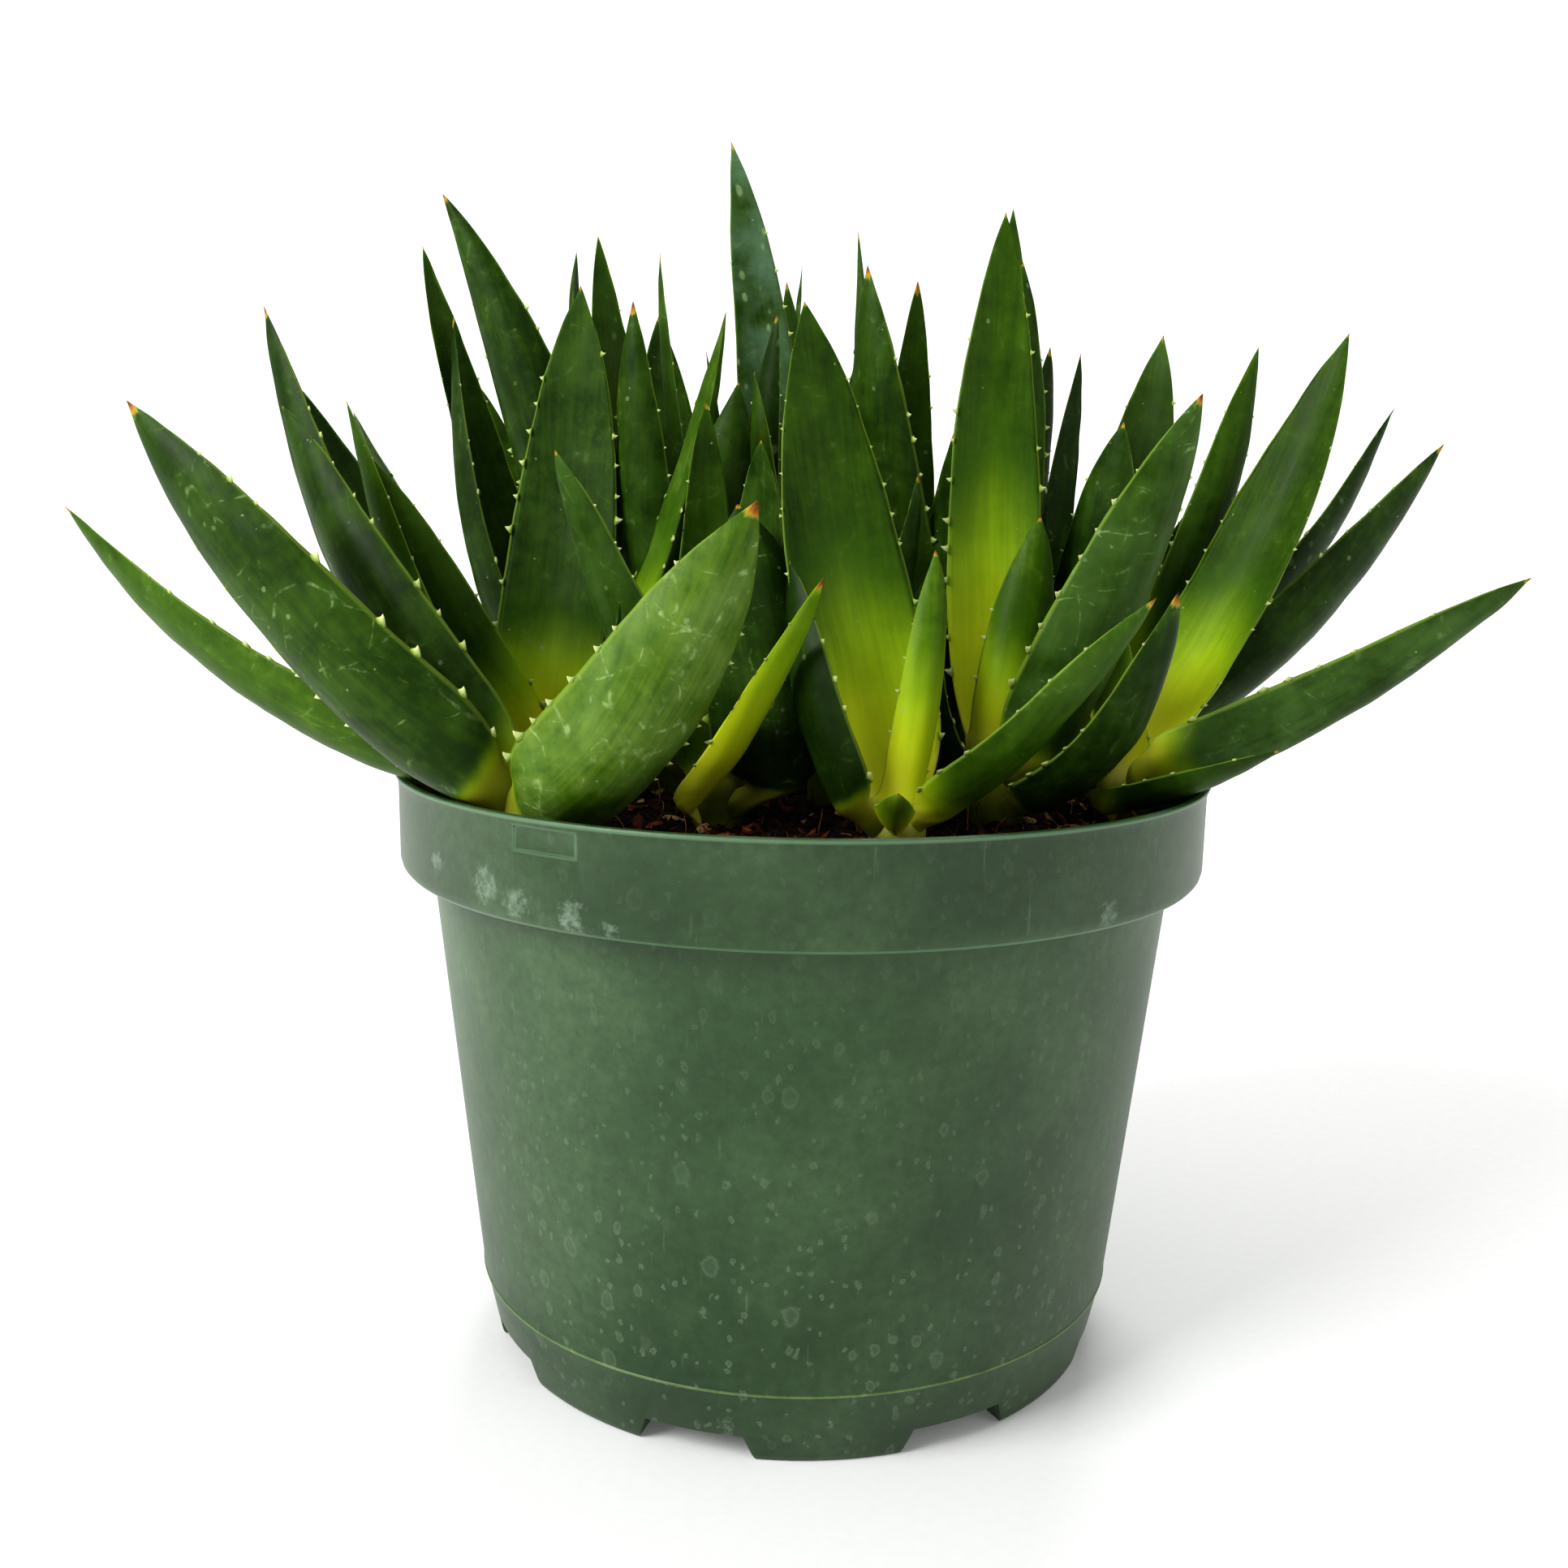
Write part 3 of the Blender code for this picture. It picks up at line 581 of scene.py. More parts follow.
# Moist peat: near black, a little browner on the crumbs that have dried, and dull all over.
peat, tree, shader = new_material("moist_peat", {"IOR": 1.4, "Specular IOR Level": 0.3})
where = add(tree, "TexCoord").outputs["Object"]
clods = lumpy(tree, where, 3 * MM, detail=6, roughness=0.7)
colour = ramp(tree, clods, (0.35, "#080403"), (0.5, "#1a0f09"), (0.6, "#331d10"), (0.72, "#63391d"))
grit = lumpy(tree, where, 0.6 * MM, detail=3)
bump = add(tree, "Bump", {"Strength": 0.9, "Distance": 0.5 * MM, "Height": grit})
dull = remap(tree, grit, (0, 1), (0.75, 1.0))
connect(tree, shader, {"Base Color": colour, "Roughness": dull, "Normal": bump})

# Pine bark and moss fibre: reddish brown to tan, each piece its own shade, with a fibrous skin.
bark, tree, shader = new_material("composted_bark", {"IOR": 1.45, "Specular IOR Level": 0.35})
where = add(tree, "TexCoord").outputs["Object"]
own = add(tree, "NewGeometry").outputs["Random Per Island"]
shade = ramp(tree, own,
             (0.0, "#33160b"), (0.35, "#652c12"), (0.65, "#9a5022"), (0.88, "#c48645"), (1.0, "#dfbd88"))
strands = lumpy(tree, where, 0.5 * MM, detail=4)
worn = ramp(tree, strands, (0.3, "#6e6e6e"), (0.7, "#ffffff"))
colour = blend(tree, 1.0, shade, worn, "MULTIPLY")
bump = add(tree, "Bump", {"Strength": 0.6, "Distance": 0.2 * MM, "Height": strands})
dull = remap(tree, strands, (0, 1), (0.6, 0.95))
connect(tree, shader, {"Base Color": colour, "Roughness": dull, "Normal": bump})

soil.data.materials.append(peat)
crumbs.data.materials.append(peat)
chips.data.materials.append(bark)
fibres.data.materials.append(bark)
hand_over(soil, "peat", "soil")
for loose in (crumbs, chips, fibres):
    smooth(loose, 60)
    hand_over(loose, "peat")

# ---------------------------------------------------------------- the leaves
# Fleshy leaves with a channelled inner face, a rounded back and soft teeth along both margins. Their bases
# are pale where they clasp the short stem and never see the sun; on the leaves with little yellow, most of
# them deep in the clump, the clasp is painted dark olive, a painted shade. Leaves near the edge are bruised
# and scratched by handling, and the oldest tips have dried brown.

RINGS = 8
RING_POINTS = 6
LEFT, RIGHT = 0, 4  # the margins' places in a ring
SHARES = (-1.0, -0.68, 0.0, 0.68, 1.0, 0.0)  # how far across the leaf each point of a ring is
INNER = (0.5, 0, 0, 0, 0.5, 1)  # how far round to the inner face it is
FULLER = (1.3, 1.2, 1.1, 1.04, 1.0, 1.04, 1.12)  # how much each ring swells, from the tip down
PLUMP = 1.22  # how much wider than its CAD shell a leaf grows, unless its width is known
WAVER = 0.7 * MM  # how far a leaf strays from its even shape
WAVER_LENGTH = 14 * MM
CLASPS = ((0.42, 1.2 * MM, 1.1), (0.36, 4.5 * MM, 0.86))  # a leaf's foot: share of the way in, drop, growth
ROOTED = 3 * MM  # how far a heart's stem reaches into the soil below its CAD foot
HEART_LEAF_POINTS = 51  # what each leaf adds to a heart's points; a single leaf has fewer
TOOTH_SPACING = 5.9 * MM
TOOTH_HEIGHT = 1.6 * MM
TOOTH_SUNK = 0.25 * MM
TEETH_FROM, TEETH_TO = 0.02, 0.94  # the toothed share of a margin
TEETH_LOST = 0.12, 0.3  # the share of them missing at a leaf's base, and how many more at its tip


@dataclass
class Look:
    """How one leaf looks. yellow is how far up its base is yellow, as a share of its length; light runs from
    -1, dark green, to 1, pale; bloom is its grey waxen film, which also paints a sheen; scars its scratches;
    tip how much has dried brown; teeth how large they are; flecks its white freckles; width is how wide it is
    in mm, where that is known; and bend is how far its middle arches out of its CAD line, in mm."""

    yellow: float = 0.2
    light: float = 0.0
    bloom: float = 0.25
    scars: float = 0.15
    tip: float = 0.02
    teeth: float = 1.0
    flecks: float = 0.0
    width: float = None
    bend: tuple = (0, 0, 0)


# The leaves seen from the front, the tallest of each node first
LOOKS = {
    "front_heart": [Look(0.54, -0.1, 0.05, 0.1, 0.006, 0.6, width=23),
                    Look(1.1, 0.4, 0, 0.1, 0.02, width=9.5)],
    "front_leaf_1": [Look(0.28, 0.1, 0.3, 0.3, 0.035)],
    "front_leaf_2": [Look(1.1, 0.9, 0.0, 0.1, 0.03, width=6.5)],
    "front_leaf_3": [Look(0.1, -0.7, 0.1, 0.1, 0.02)],
    "front_right_heart": [Look(0.6, 0.0, 0.05, 0.1, 0.006, width=17.5), Look(0.8, 0.2, 0.0, 0.1, 0.02)],
    "front_right_leaf_1": [Look(0.15, 0.0, 0.4, 0.8, 0.02)],
    "front_right_leaf_2": [Look(0.1, -0.5, 0.2, 0.1, 0.02)],
    "front_right_leaf_3": [Look(0.12, -0.4, 0.25, 0.3, 0.035)],
    "right_heart": [Look(0.48, -0.1, 0.05, 0.1, 0.006, 0.6, width=17.5), Look(0.9, 0.2, 0.0, 0.1, 0.02)],
    "right_leaf_1": [Look(0.2, -0.2, 0.4, 0.3, 0.015, width=16)],
    "right_leaf_2": [Look(0.35, -0.3, 0.15, 0.1, 0.02)],
    "right_leaf_3": [Look(0.4, -0.2, 0.15, 0.2, 0.02)],
    "front_left_heart": [Look(0.2, -0.3, 0.2, 0.2, 0.006), Look(0.6, -0.2, 0.1, 0.1, 0.01)],
    "front_left_leaf_1": [Look(0.05, 0.5, 0.45, 1.0, 0.03, width=22.5)],
    "front_left_leaf_2": [Look(0.08, -0.35, 0.2, 0.6, 0.025, width=21)],
    "front_left_leaf_3": [Look(0.25, 0.1, 0.2, 0.25, 0.015, width=16)],
    "centre_heart": [Look(0.15, -0.3, 0.3, 0.3, 0.01), Look(0.15, -0.1, 0.35, 0.3, 0.01)],
    "centre_leaf_1": [Look(1.6, 0.6, 0.0, 0.1, 0.05)],
    "centre_leaf_2": [Look(0.06, -0.5, 0.25, 0.7, 0.01)],
    "centre_leaf_3": [Look(0.35, 0.0, 0.15, 0.2, 0.015)],
    "left_heart": [Look(0.32, -0.3, 0.15, 0.15, 0.006), Look(0.5, 0.0, 0.15, 0.1, 0.01)],
    "left_leaf_1": [Look(0.2, -0.5, 0.2, 0.3, 0.02, width=19)],
    "left_leaf_2": [Look(0.7, 0.1, 0.05, 0.1, 0.015)],
    "back_left_heart": [Look(0.2, -0.4, 0.1, 0.15, 0.01, width=18, bend=(8, 0, 2)),
                        Look(0.2, 0.75, 0.6, 0.1, 0.01, width=20)],
    "back_left_leaf_1": [Look(0.3, -0.1, 0.1, 0.1, 0.006, width=12)],
    "back_centre_heart": [Look(0.2, -0.1, 0.8, 0.3, 0.01, flecks=0.8, width=14, bend=(4.5, 0, 0)),
                          Look(0.3), Look(0.3)],
}


def look_of(node, leaf_number):
    """The look given for a leaf, or one of its own for a leaf deeper in the clump."""
    given = LOOKS.get(node, [])
    if leaf_number < len(given):
        return given[leaf_number]
    own = random.Random(f"{node} {leaf_number}")
    return Look(own.uniform(0.1, 0.55), own.uniform(-0.7, 0.25), own.uniform(0.05, 0.3),
                own.uniform(0.0, 0.35), own.choice((0.005, 0.008, 0.012, 0.02)),
                flecks=own.choice((0.0, 0.0, 0.0, 0.35)))


def leaf_cage(node):
    """A copy of a CAD node, its loose triangles merged into one mesh."""
    cage = bpy.data.objects.new(node + "_grown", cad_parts[node].data.copy())
    bpy.context.scene.collection.objects.link(cage)
    cage.data.materials.clear()
    take_up(cage)
    bpy.ops.mesh.customdata_custom_splitnormals_clear()
    edit_whole()
    bpy.ops.mesh.remove_doubles(threshold=1e-6)
    bpy.ops.mesh.normals_make_consistent(inside=False)
    return cage


def in_order(ring, before):
    """A ring's points as left margin, round the back to the right margin, and the channel. The margins are
    the two points furthest apart, and the channel is the one that touches both."""
    ring = sorted(ring, key=lambda v: v.co.to_tuple(7))
    left, right = max(((a, b) for a in ring for b in ring), key=lambda pair: (pair[0].co - pair[1].co).length)
    touches = {v: {e.other_vert(v) for e in v.link_edges} for v in ring}
    if before and before[0] not in touches[left]:
        left, right = right, left
    channel = next(v for v in ring if v not in (left, right) and {left, right} <= touches[v])
    back = [v for v in ring if v not in (left, right, channel)]
    back_left = next(v for v in back if v in touches[left])
    back_right = next(v for v in back if v in touches[right])
    middle = next(v for v in back if v not in (back_left, back_right))
    return [left, back_left, middle, back_right, right, channel]


def rings_of_leaves(shape):
    """For each leaf, the tallest first: its tip, and its rings from there down to its base."""
    sharpest = sorted(shape.verts, key=lambda v: sum(loop.calc_angle() for loop in v.link_loops))
    tips = sharpest[:max(1, len(shape.verts) // HEART_LEAF_POINTS)]
    leaves = []
    for tip in sorted(tips, key=lambda v: -v.co.z):
        seen, edge, rings = {tip}, [tip], []
        for _ in range(RINGS):
            ring = {e.other_vert(v) for v in edge for e in v.link_edges} - seen
            rings.append(in_order(ring, rings[-1] if rings else None))
            seen |= ring
            edge = ring
        leaves.append((tip, rings))
    return leaves


def stem_axis(node):
    """The foot of the stem that a node's leaves grow on."""
    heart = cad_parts[node.split("_leaf_")[0] + "_heart"]
    points = np.array([v.co for v in heart.data.vertices])
    return Vector(points[points[:, 2] < points[:, 2].min() + 0.1 * MM].mean(axis=0))


def centre(ring):
    """The middle of a ring's points."""
    return sum((v.co for v in ring), Vector()) / RING_POINTS


def label_leaves(cage, node):
    """Writes on each point where it is on its leaf, and what the leaf looks like, for the finish to read.
    place is across and along the leaf in mm, with the leaf's number. growth is the share of the way to the
    tip, to the margin, and from the back round to the inner face."""
    shape = bmesh.from_edit_mesh(cage.data)
    for name in ("place", "growth", "habit", "wear"):
        shape.verts.layers.float_vector.new(name)
    shape.verts.layers.float.new("crease_vert")
    shape.edges.layers.float.new("crease_edge")
    layers = shape.verts.layers.float_vector
    for vertex in shape.verts:
        vertex[layers["growth"]] = (-0.12, 0, 0)
    leaves = rings_of_leaves(shape)
    for number, (tip, rings) in enumerate(leaves):
        look = look_of(node, number)
        middles = [centre(ring) for ring in reversed(rings)] + [tip.co.copy()]
        steps = [0.0]
        for lower, upper in zip(middles, middles[1:]):
            steps.append(steps[-1] + (upper - lower).length)
        for ring, along in zip(rings[::-1] + [[tip]], steps):
            half = (ring[LEFT].co - ring[RIGHT].co).length / 2 if len(ring) > 1 else 0.0
            for column, vertex in enumerate(ring):
                share = SHARES[column] if len(ring) > 1 else 0.0
                inner = INNER[column] if len(ring) > 1 else 0.5
                vertex[layers["place"]] = (share * half / MM, along / MM, 1 + number)
                vertex[layers["growth"]] = (along / steps[-1], abs(share), inner)
                vertex[layers["habit"]] = (look.yellow, look.light, look.bloom)
                vertex[layers["wear"]] = (look.scars, look.tip, look.flecks)
    return shape, leaves


def grow(node):
    """The finished flesh of one CAD node: its cage in quads, its base drawn in to clasp the stem, its margins
    kept keen, and the whole rounded out."""
    cage = leaf_cage(node)
    shape, leaves = label_leaves(cage, node)
    creases = shape.edges.layers.float["crease_edge"]
    points = shape.verts.layers.float["crease_vert"]
    own = random.Random(node)
    drift = Vector((own.uniform(0, 99), own.uniform(0, 99), own.uniform(0, 99)))
    diagonals = []
    for number, (tip, rings) in enumerate(leaves):
        look = look_of(node, number)
        tip[points] = 1.0
        column = {v: i for ring in rings for i, v in enumerate(ring)}
        level = {v: k for k, ring in enumerate(rings) for v in ring}
        for upper, lower in zip(rings[:RINGS - 1], rings[1:]):
            for v in upper:
                for e in v.link_edges:
                    w = e.other_vert(v)
                    if w in lower and level[w] < RINGS - 1 and column[w] != column[v]:
                        diagonals.append(e)
        for margin in (LEFT, RIGHT):
            line = [tip] + [ring[margin] for ring in rings]
            for a, b in zip(line, line[1:]):
                for e in a.link_edges:
                    if e.other_vert(a) is b:
                        e[creases] = 1.0
        widest = max((ring[LEFT].co - ring[RIGHT].co).length for ring in rings)
        swell = PLUMP if look.width is None else look.width * MM / widest
        length = (tip.co - centre(rings[-1])).length
        for ring, fuller in zip(rings[:-1], FULLER):
            middle = (ring[LEFT].co + ring[RIGHT].co) / 2
            across = (ring[RIGHT].co - ring[LEFT].co).normalized()
            for v in ring:
                v.co += across * (v.co - middle).dot(across) * (swell * fuller - 1)
            down = min(1.0, (middle - tip.co).length / length)
            arch = Vector(look.bend) * MM * 4 * down * (1 - down)
            for v in ring:
                v.co += noise.noise_vector(v.co / WAVER_LENGTH + drift) * WAVER + arch
    for edge in shape.edges:
        edge.select = False
    bmesh.ops.dissolve_edges(shape, edges=list(dict.fromkeys(diagonals)), use_verts=False)
    if "_leaf_" in node:
        tip, rings = leaves[0]
        base = set(rings[-1])
        foot = stem_axis(node)
        middle = centre(rings[-1])
        inward = Vector((foot.x, foot.y, middle.z)) - middle
        for part in list(shape.verts) + list(shape.edges) + list(shape.faces):
            part.select = False
        for part in shape.faces:
            if set(part.verts) <= base:
                part.select = True
        shape.select_flush(True)
        bmesh.update_edit_mesh(cage.data)
        bpy.ops.mesh.select_mode(type="FACE")
        for reach, drop, ratio in CLASPS:
            step = inward * reach - Vector((0, 0, drop))
            middle = middle + step
            bpy.ops.mesh.extrude_region_move(TRANSFORM_OT_translate={"value": step})
            bpy.ops.transform.resize(value=(ratio, ratio, 0.9), center_override=middle)
        shape = bmesh.from_edit_mesh(cage.data)
        growth = shape.verts.layers.float_vector["growth"]
        for vertex in shape.verts:
            if vertex.select:
                vertex[growth] = (-0.08, vertex[growth].y, vertex[growth].z)
    else:
        low = min(v.co.z for v in shape.verts)
        for vertex in shape.verts:
            if vertex.co.z < low + 0.1 * MM:
                vertex.co.z -= ROOTED
        bmesh.update_edit_mesh(cage.data)
    bpy.ops.object.mode_set(mode="OBJECT")
    apply_modifier(cage, "SUBSURF", levels=3, render_levels=3, boundary_smooth="ALL")
    apply_modifier(cage, "DISPLACE", texture=lumps(9 * MM, depth=1), strength=0.5 * MM, mid_level=0.5,
                   texture_coords="GLOBAL")
    return cage


def prickle():
    """One tooth, a millimetre high: a flattened cone, broad at its foot and hooked towards the leaf's tip."""
    nothing_selected()
    bpy.ops.mesh.primitive_circle_add(vertices=6, radius=0.75 * MM, fill_type="NGON")
    made = bpy.context.object
    edit_whole()
    bpy.ops.transform.resize(value=(1, 0.42, 1), center_override=(0, 0, 0))
    for rise, lean, ratio in ((0.4, 0.05, 0.5), (0.35, 0.12, 0.5), (0.25, 0.16, 0.12)):
        bpy.ops.mesh.extrude_region_move(TRANSFORM_OT_translate={"value": (lean * MM, 0, rise * MM)})
        bpy.ops.transform.resize(value=(ratio, ratio, 1))
    face_outward()
    return made


def read(mesh, name):
    """A vector attribute as rows of numbers."""
    values = np.empty(3 * len(mesh.vertices), np.float32)
    mesh.attributes[name].data.foreach_get("vector", values)
    return values.reshape(-1, 3)


def margins(piece):
    """For each leaf, its number and its two margins, each as distances along it, shares of its length and
    points."""
    place, growth = read(piece.data, "place"), read(piece.data, "growth")
    points = np.array([v.co for v in piece.data.vertices])
    for leaf in range(1, 1 + round(place[:, 2].max())):
        sides = []
        for side in (-1, 1):
            on = ((growth[:, 1] > 0.999) & (growth[:, 0] > TEETH_FROM) & (np.abs(place[:, 2] - leaf) < 0.01)
                  & (np.sign(place[:, 0]) == side))
            order = np.argsort(place[on, 1])
            sides.append([place[on, 1][order] * MM, growth[on, 0][order], points[on][order]])
        yield leaf - 1, sides


def along_line(run, line, spot):
    """The point so far along a line."""
    return Vector([np.interp(spot, run, line[:, axis]) for axis in range(3)])


def add_teeth(piece, node, tooth):
    """Sets teeth along both margins of each leaf, the largest near the base."""
    own = random.Random(node + " teeth")
    places, shares = [], []
    for number, sides in margins(piece):
        widest = max(np.linalg.norm(sides[0][2].mean(axis=0) - sides[1][2].mean(axis=0)), 6 * MM)
        size = TOOTH_HEIGHT * min(1.15, (widest / (14 * MM)) ** 0.6) * look_of(node, number).teeth
        for (run, share, line), (other_run, _, other_line) in (sides, sides[::-1]):
            spot = own.uniform(0.6, 1.2) * TOOTH_SPACING
            while spot < TEETH_TO * run[-1]:
                level = float(np.interp(spot, run, share))
                point = along_line(run, line, spot)
                up = (point - along_line(other_run, other_line, spot)).normalized()
                along = along_line(run, line, spot + MM) - point
                along = (along - up * along.dot(up)).normalized()
                height = size * (1.1 - 0.75 * level) * own.uniform(0.7, 1.2)
                if own.random() > TEETH_LOST[0] + TEETH_LOST[1] * level:
                    turn = Matrix((along, up.cross(along), up)).transposed().to_4x4()
                    places.append((0, Matrix.Translation(point - up * TOOTH_SUNK) @ turn
                                   @ Matrix.Scale(height / MM, 4)))
                    shares.append(level)
                spot += TOOTH_SPACING * own.uniform(0.75, 1.3)
    teeth = copies("teeth", [tooth], places)
    teeth.data.materials.append(gristle)
    rise = np.array([v.co.z for v in tooth.data.vertices]) / MM
    values = np.stack([np.repeat(shares, len(rise)), np.tile(rise, len(shares)),
                       np.full(len(rise) * len(shares), 2)], axis=1).astype(np.float32)
    teeth.data.attributes.new("growth", "FLOAT_VECTOR", "POINT").data.foreach_set("vector", values.ravel())
    take_up(piece)
    teeth.select_set(True)
    bpy.ops.object.join()


def written(tree, name):
    """The three values that a vector attribute holds."""
    vector = add(tree, "Attribute", attribute_name=name).outputs["Vector"]
    return add(tree, "SeparateXYZ", {"Vector": vector})


def aloe_skin():
    """Waxy aloe skin: dark satin green on the back with a grey waxen film that is partly a painted sheen,
    yellower where the leaf was shaded by the others, with fine lengthwise veins, pale margins, hard-water
    spots and healed scratches."""
    skin, tree, shader = new_material("aloe_skin", {"IOR": 1.42, "Specular IOR Level": 0.16,
                                                    "Subsurface Weight": 0.1,
                                                    "Subsurface Radius": (0.6, 1.0, 0.15),
                                                    "Subsurface Scale": 1.2 * MM})
    where = add(tree, "TexCoord").outputs["Object"]
    place = add(tree, "Attribute", attribute_name="place").outputs["Vector"]
    growth = written(tree, "growth")
    habit = written(tree, "habit")
    wear = written(tree, "wear")
    share, margin, inner = (growth.outputs[axis] for axis in "XYZ")
    yellow, light, bloom = (habit.outputs[axis] for axis in "XYZ")
    scars, dry, freckled = (wear.outputs[axis] for axis in "XYZ")

    patch = lumpy(tree, where, 11 * MM, detail=4, roughness=0.6)
    blotch = lumpy(tree, where, 2.6 * MM, detail=5, roughness=0.65)
    veins = add(tree, "Mapping", {"Vector": place, "Scale": (1 / 0.8, 1 / 16, 3.7)})
    veins = lumpy(tree, veins, 1, detail=3)
    cells = lumpy(tree, where, 0.35 * MM, detail=2)

    # Green, darker or paler from leaf to leaf, with a thin grey waxen film in patches that is partly a
    # painted sheen
    tone = compute(tree, "MULTIPLY_ADD", light, 0.4, 0.5)
    for pattern, weight in ((patch, 0.5), (blotch, 0.3), (veins, 0.3)):
        tone = sway(tree, tone, pattern, weight)
    green = ramp(tree, tone, (0.0, "#0c1f02"), (0.3, "#1e3702"), (0.6, "#3d5e05"), (1.0, "#7f9a26"))
    # Painted sheen: the grey-green waxen colour laid on in patches stands partly for real film, partly for
    # the leaves' highlights
    waxy = remap(tree, patch, (0.35, 0.7))
    waxy = times(tree, waxy, bloom)
    waxy = times(tree, waxy, 0.55)
    wax = ramp(tree, bloom, (0.3, "#638345"), (0.65, "#7b9c8c"))
    green_with_wax_and_sheen = blend(tree, waxy, green, wax)

    # Yellow green where the base was shaded, further up on the inner face, and in streaks along the veins
    reach = compute(tree, "MULTIPLY_ADD", inner, 0.35, 0.65)
    reach = times(tree, reach, yellow)
    shaded = compute(tree, "DIVIDE", share, reach)
    for pattern, weight in ((veins, 0.16), (patch, 0.25)):
        shaded = sway(tree, shaded, pattern, weight)
    pale = remap(tree, shaded, (1.25, 0.3), eased=True)
    full = remap(tree, yellow, (0.05, 0.45), (0.45, 1))
    pale = times(tree, pale, full)
    lime = ramp(tree, shaded, (0.0, "#eeec40"), (0.3, "#d0de22"), (0.62, "#a2c41a"), (1.0, "#4f800f"))
    grown = blend(tree, pale, green_with_wax_and_sheen, lime)
    # The clasp: pale on leaves with much yellow, and painted dark olive on the others, mostly those deep in
    # the clump, as painted shade
    clasp = remap(tree, share, (0.05, -0.05), (0, 0.85), eased=True)
    stem_colour_and_shade = remap(tree, yellow, (0.2, 0.9))
    stem_colour_and_shade = ramp(tree, stem_colour_and_shade, (0.0, "#3f4f16"), (0.5, "#8b9634"), (1.0, "#d8d980"))
    grown = blend(tree, clasp, grown, stem_colour_and_shade)

    rim = remap(tree, margin, (0.95, 0.99), (0, 0.4), eased=True)
    edged = blend(tree, rim, grown, linear("#9bb648"))

    # Hard water: small dots where single drops dried
    spots = None
    for cell, core, strength in ((4.1, 0.085, 0.32), (2.3, 0.07, 0.45)):
        bent = stray(tree, where, blotch, 0.9 * MM)
        drops = add(tree, "TexVoronoi", {"Vector": bent, "Scale": 1 / (cell * MM)})
        lot = add(tree, "SeparateColor", {"Color": drops.outputs["Color"]})
        kept = remap(tree, lot.outputs["Red"], (0.16, 0.06), (0, strength))
        dot = remap(tree, drops.outputs["Distance"], (1.5 * core, core))
        dot = times(tree, dot, kept)
        spots = larger(tree, spots, dot)

    # Freckles drawn out along the leaf, on the leaves that have them
    freckles = add(tree, "Mapping", {"Vector": place, "Scale": (1 / 2.0, 1 / 4.2, 5.3)})
    freckles = add(tree, "TexVoronoi", {"Vector": freckles, "Scale": 1.0})
    freckles = remap(tree, freckles.outputs["Distance"], (0.26, 0.16))
    freckles = times(tree, freckles, freckled)
    freckles = times(tree, freckles, blotch)
    spots = compute(tree, "MAXIMUM", spots, freckles)

    # Scratches: thin curved lines, broken into short lengths
    broken = remap(tree, blotch, (0.5, 0.68), (0, 0.8))
    bruised = remap(tree, patch, (0.42, 0.58))
    broken = times(tree, broken, bruised)
    scratch = None
    for shift, scale in ((0, (1 / 16, 1 / 12, 1 / 12)), (31, (1 / 14, 1 / 14, 1 / 6)),
                         (57, (1 / 7, 1 / 12, 1 / 14))):
        lines = add(tree, "Mapping", {"Vector": where, "Location": (shift, 0, 0),
                                      "Scale": [k / MM for k in scale]})
        lines = lumpy(tree, lines, 1, detail=0.5)
        lines = apart(tree, lines, 0.5)
        lines = remap(tree, lines, (0.014, 0.004))
        scratch = larger(tree, scratch, lines)
    scratch = times(tree, scratch, broken)
    scratch = times(tree, scratch, scars)
    marks = compute(tree, "MAXIMUM", scratch, spots)
    marked = blend(tree, marks, edged, linear("#a3bd84"))

    # The tip, dried from the point down
    from_tip = compute(tree, "SUBTRACT", 1.0, share)
    from_tip = compute(tree, "DIVIDE", from_tip, dry)
    from_tip = sway(tree, from_tip, blotch, 1.2)
    dried = remap(tree, from_tip, (1.25, 0.75), eased=True)
    tan = ramp(tree, from_tip, (0.0, "#4f2a12"), (0.35, "#8a5220"), (0.7, "#b8842c"), (1.0, "#a3a336"))
    colour = blend(tree, dried, marked, tan)

    gloss = remap(tree, blotch, (0.3, 0.7), (0.38, 0.52))
    gloss = compute(tree, "MULTIPLY_ADD", marks, 0.25, gloss)
    gloss = compute(tree, "MULTIPLY_ADD", waxy, 0.25, gloss)
    relief = times(tree, cells, 0.12)
    relief = compute(tree, "MULTIPLY_ADD", veins, 0.5, relief)
    relief = compute(tree, "MULTIPLY_ADD", marks, 0.8, relief)
    bump = add(tree, "Bump", {"Strength": 0.55, "Distance": 0.18 * MM, "Height": relief})
    connect(tree, shader, {"Base Color": colour, "Roughness": gloss, "Normal": bump})
    return skin


def aloe_tooth():
    """A leaf's teeth: pale translucent gristle, with a horny tip that dries orange."""
    gristle, tree, shader = new_material("aloe_tooth", {"IOR": 1.45, "Subsurface Weight": 0.35,
                                                        "Subsurface Radius": (1.0, 1.0, 0.4),
                                                        "Subsurface Scale": 0.8 * MM})
    growth = written(tree, "growth")
    colour = ramp(tree, growth.outputs["Y"],
                  (0.0, "#86a336"), (0.4, "#b9cc78"), (0.85, "#d5dba0"), (1.0, "#b98a4a"))
    dull = remap(tree, growth.outputs["Y"], (0, 1), (0.4, 0.3))
    connect(tree, shader, {"Base Color": colour, "Roughness": dull})
    return gristle


skin = aloe_skin()
gristle = aloe_tooth()
tooth = prickle()
for node in sorted(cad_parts):
    if "_leaf_" in node or node.endswith("_heart"):
        leaf = grow(node)
        leaf.data.materials.append(skin)
        add_teeth(leaf, node, tooth)
        leaf.data.shade_smooth()
        hand_over(leaf, "aloe_leaf" if "_leaf_" in node else "aloe_heart", node)
bpy.data.objects.remove(tooth, do_unlink=True)
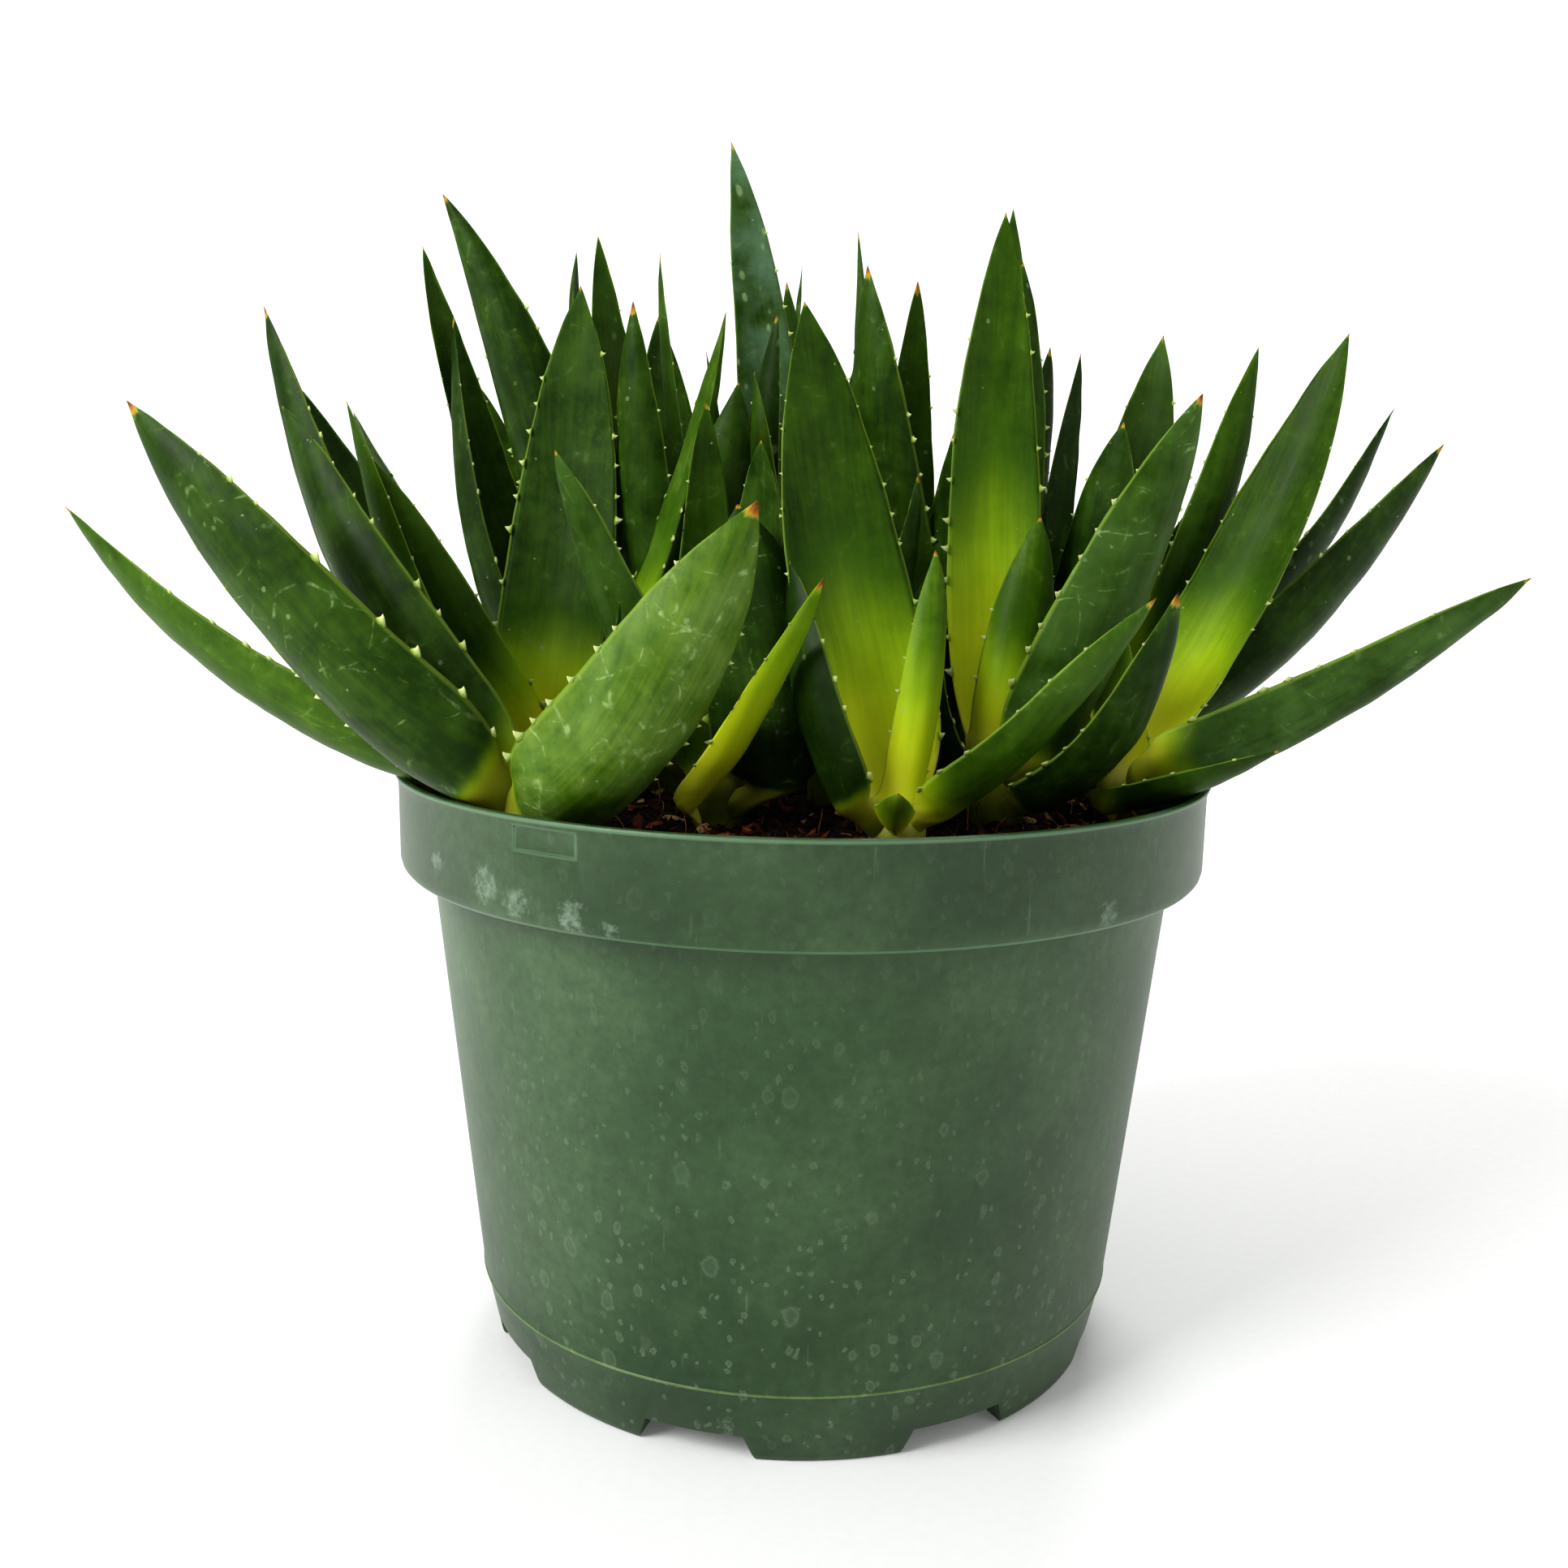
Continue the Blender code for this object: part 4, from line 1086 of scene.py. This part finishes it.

# ---------------------------------------------------------------- the table, the light and the camera
# A white acrylic table top that glows, faintly near the pot and more towards its far edges, so that it runs
# into the white of the room; a large softbox to the left, weaker ones to the right and overhead, and one
# behind for the edges.


def softbox(name, location, target, size, power):
    """A square area light aimed at a point."""
    data = bpy.data.lights.new(name, "AREA")
    data.size = size
    data.energy = power
    lamp = bpy.data.objects.new(name, data)
    bpy.context.scene.collection.objects.link(lamp)
    lamp.location = location
    lamp.rotation_euler = (Vector(target) - Vector(location)).to_track_quat("-Z", "Y").to_euler()


nothing_selected()
bpy.ops.mesh.primitive_plane_add(size=6, location=(0, 0, 0))
table = bpy.context.object
table.name = table.data.name = "table_top"
white, tree, shader = new_material("matt_white_acrylic", {"Roughness": 0.6, "Specular IOR Level": 0.2})
where = add(tree, "TexCoord").outputs["Object"]
fine_grain = lumpy(tree, where, 2 * MM)
colour = ramp(tree, fine_grain, (0.0, "#f3f3f2"), (1.0, "#fafafa"))
# The table top glows: its emission is faint near the pot and rises towards its far edges
afar = add(tree, "VectorMath", {0: where}, operation="LENGTH").outputs["Value"]
table_glow = remap(tree, afar, (0.22, 1.4), (0.06, 0.66))
connect(tree, shader, {"Base Color": colour, "Emission Color": (1, 1, 1, 1), "Emission Strength": table_glow})
table.data.materials.append(white)

softbox("key", (-0.8, -0.55, 0.75), (0, 0, 0.12), 0.6, 11)
softbox("fill", (0.75, -0.55, 0.45), (0, 0, 0.1), 0.7, 1.2)
softbox("ceiling", (0, 0, 1.1), (0, 0, 0), 0.8, 1.0)
softbox("strip", (0.1, 0.8, 0.7), (0, 0, 0.15), 0.6, 5)

world = bpy.data.worlds.new("studio")
bpy.context.scene.world = world
world.use_nodes = True
seen = add(world.node_tree, "LightPath").outputs["Is Camera Ray"]
glow = remap(world.node_tree, seen, (0, 1), (0.32, 1.0))
connect(world.node_tree, world.node_tree.nodes["Background"], {"Color": (1, 1, 1, 1), "Strength": glow})
bpy.context.scene.view_settings.view_transform = "Standard"
bpy.context.scene.view_settings.look = "Medium High Contrast"
bpy.context.scene.view_settings.exposure = 0.1

CAMERA_PLACE = (0, -0.2892, 0.1505)
CAMERA_LENS = 35.79
CAMERA_TURN, CAMERA_DOWN, CAMERA_ROLL = math.radians(0.66), math.radians(9.43), math.radians(0.94)

lens = bpy.data.cameras.new("camera")
lens.lens = CAMERA_LENS
lens.sensor_width = 36
lens.clip_start = 0.01
camera = bpy.data.objects.new("camera", lens)
bpy.context.scene.collection.objects.link(camera)
camera.matrix_world = (Matrix.Translation(CAMERA_PLACE) @ Matrix.Rotation(CAMERA_TURN, 4, "Z")
                       @ Matrix.Rotation(math.pi / 2 - CAMERA_DOWN, 4, "X")
                       @ Matrix.Rotation(CAMERA_ROLL, 4, "Z"))
bpy.context.scene.camera = camera
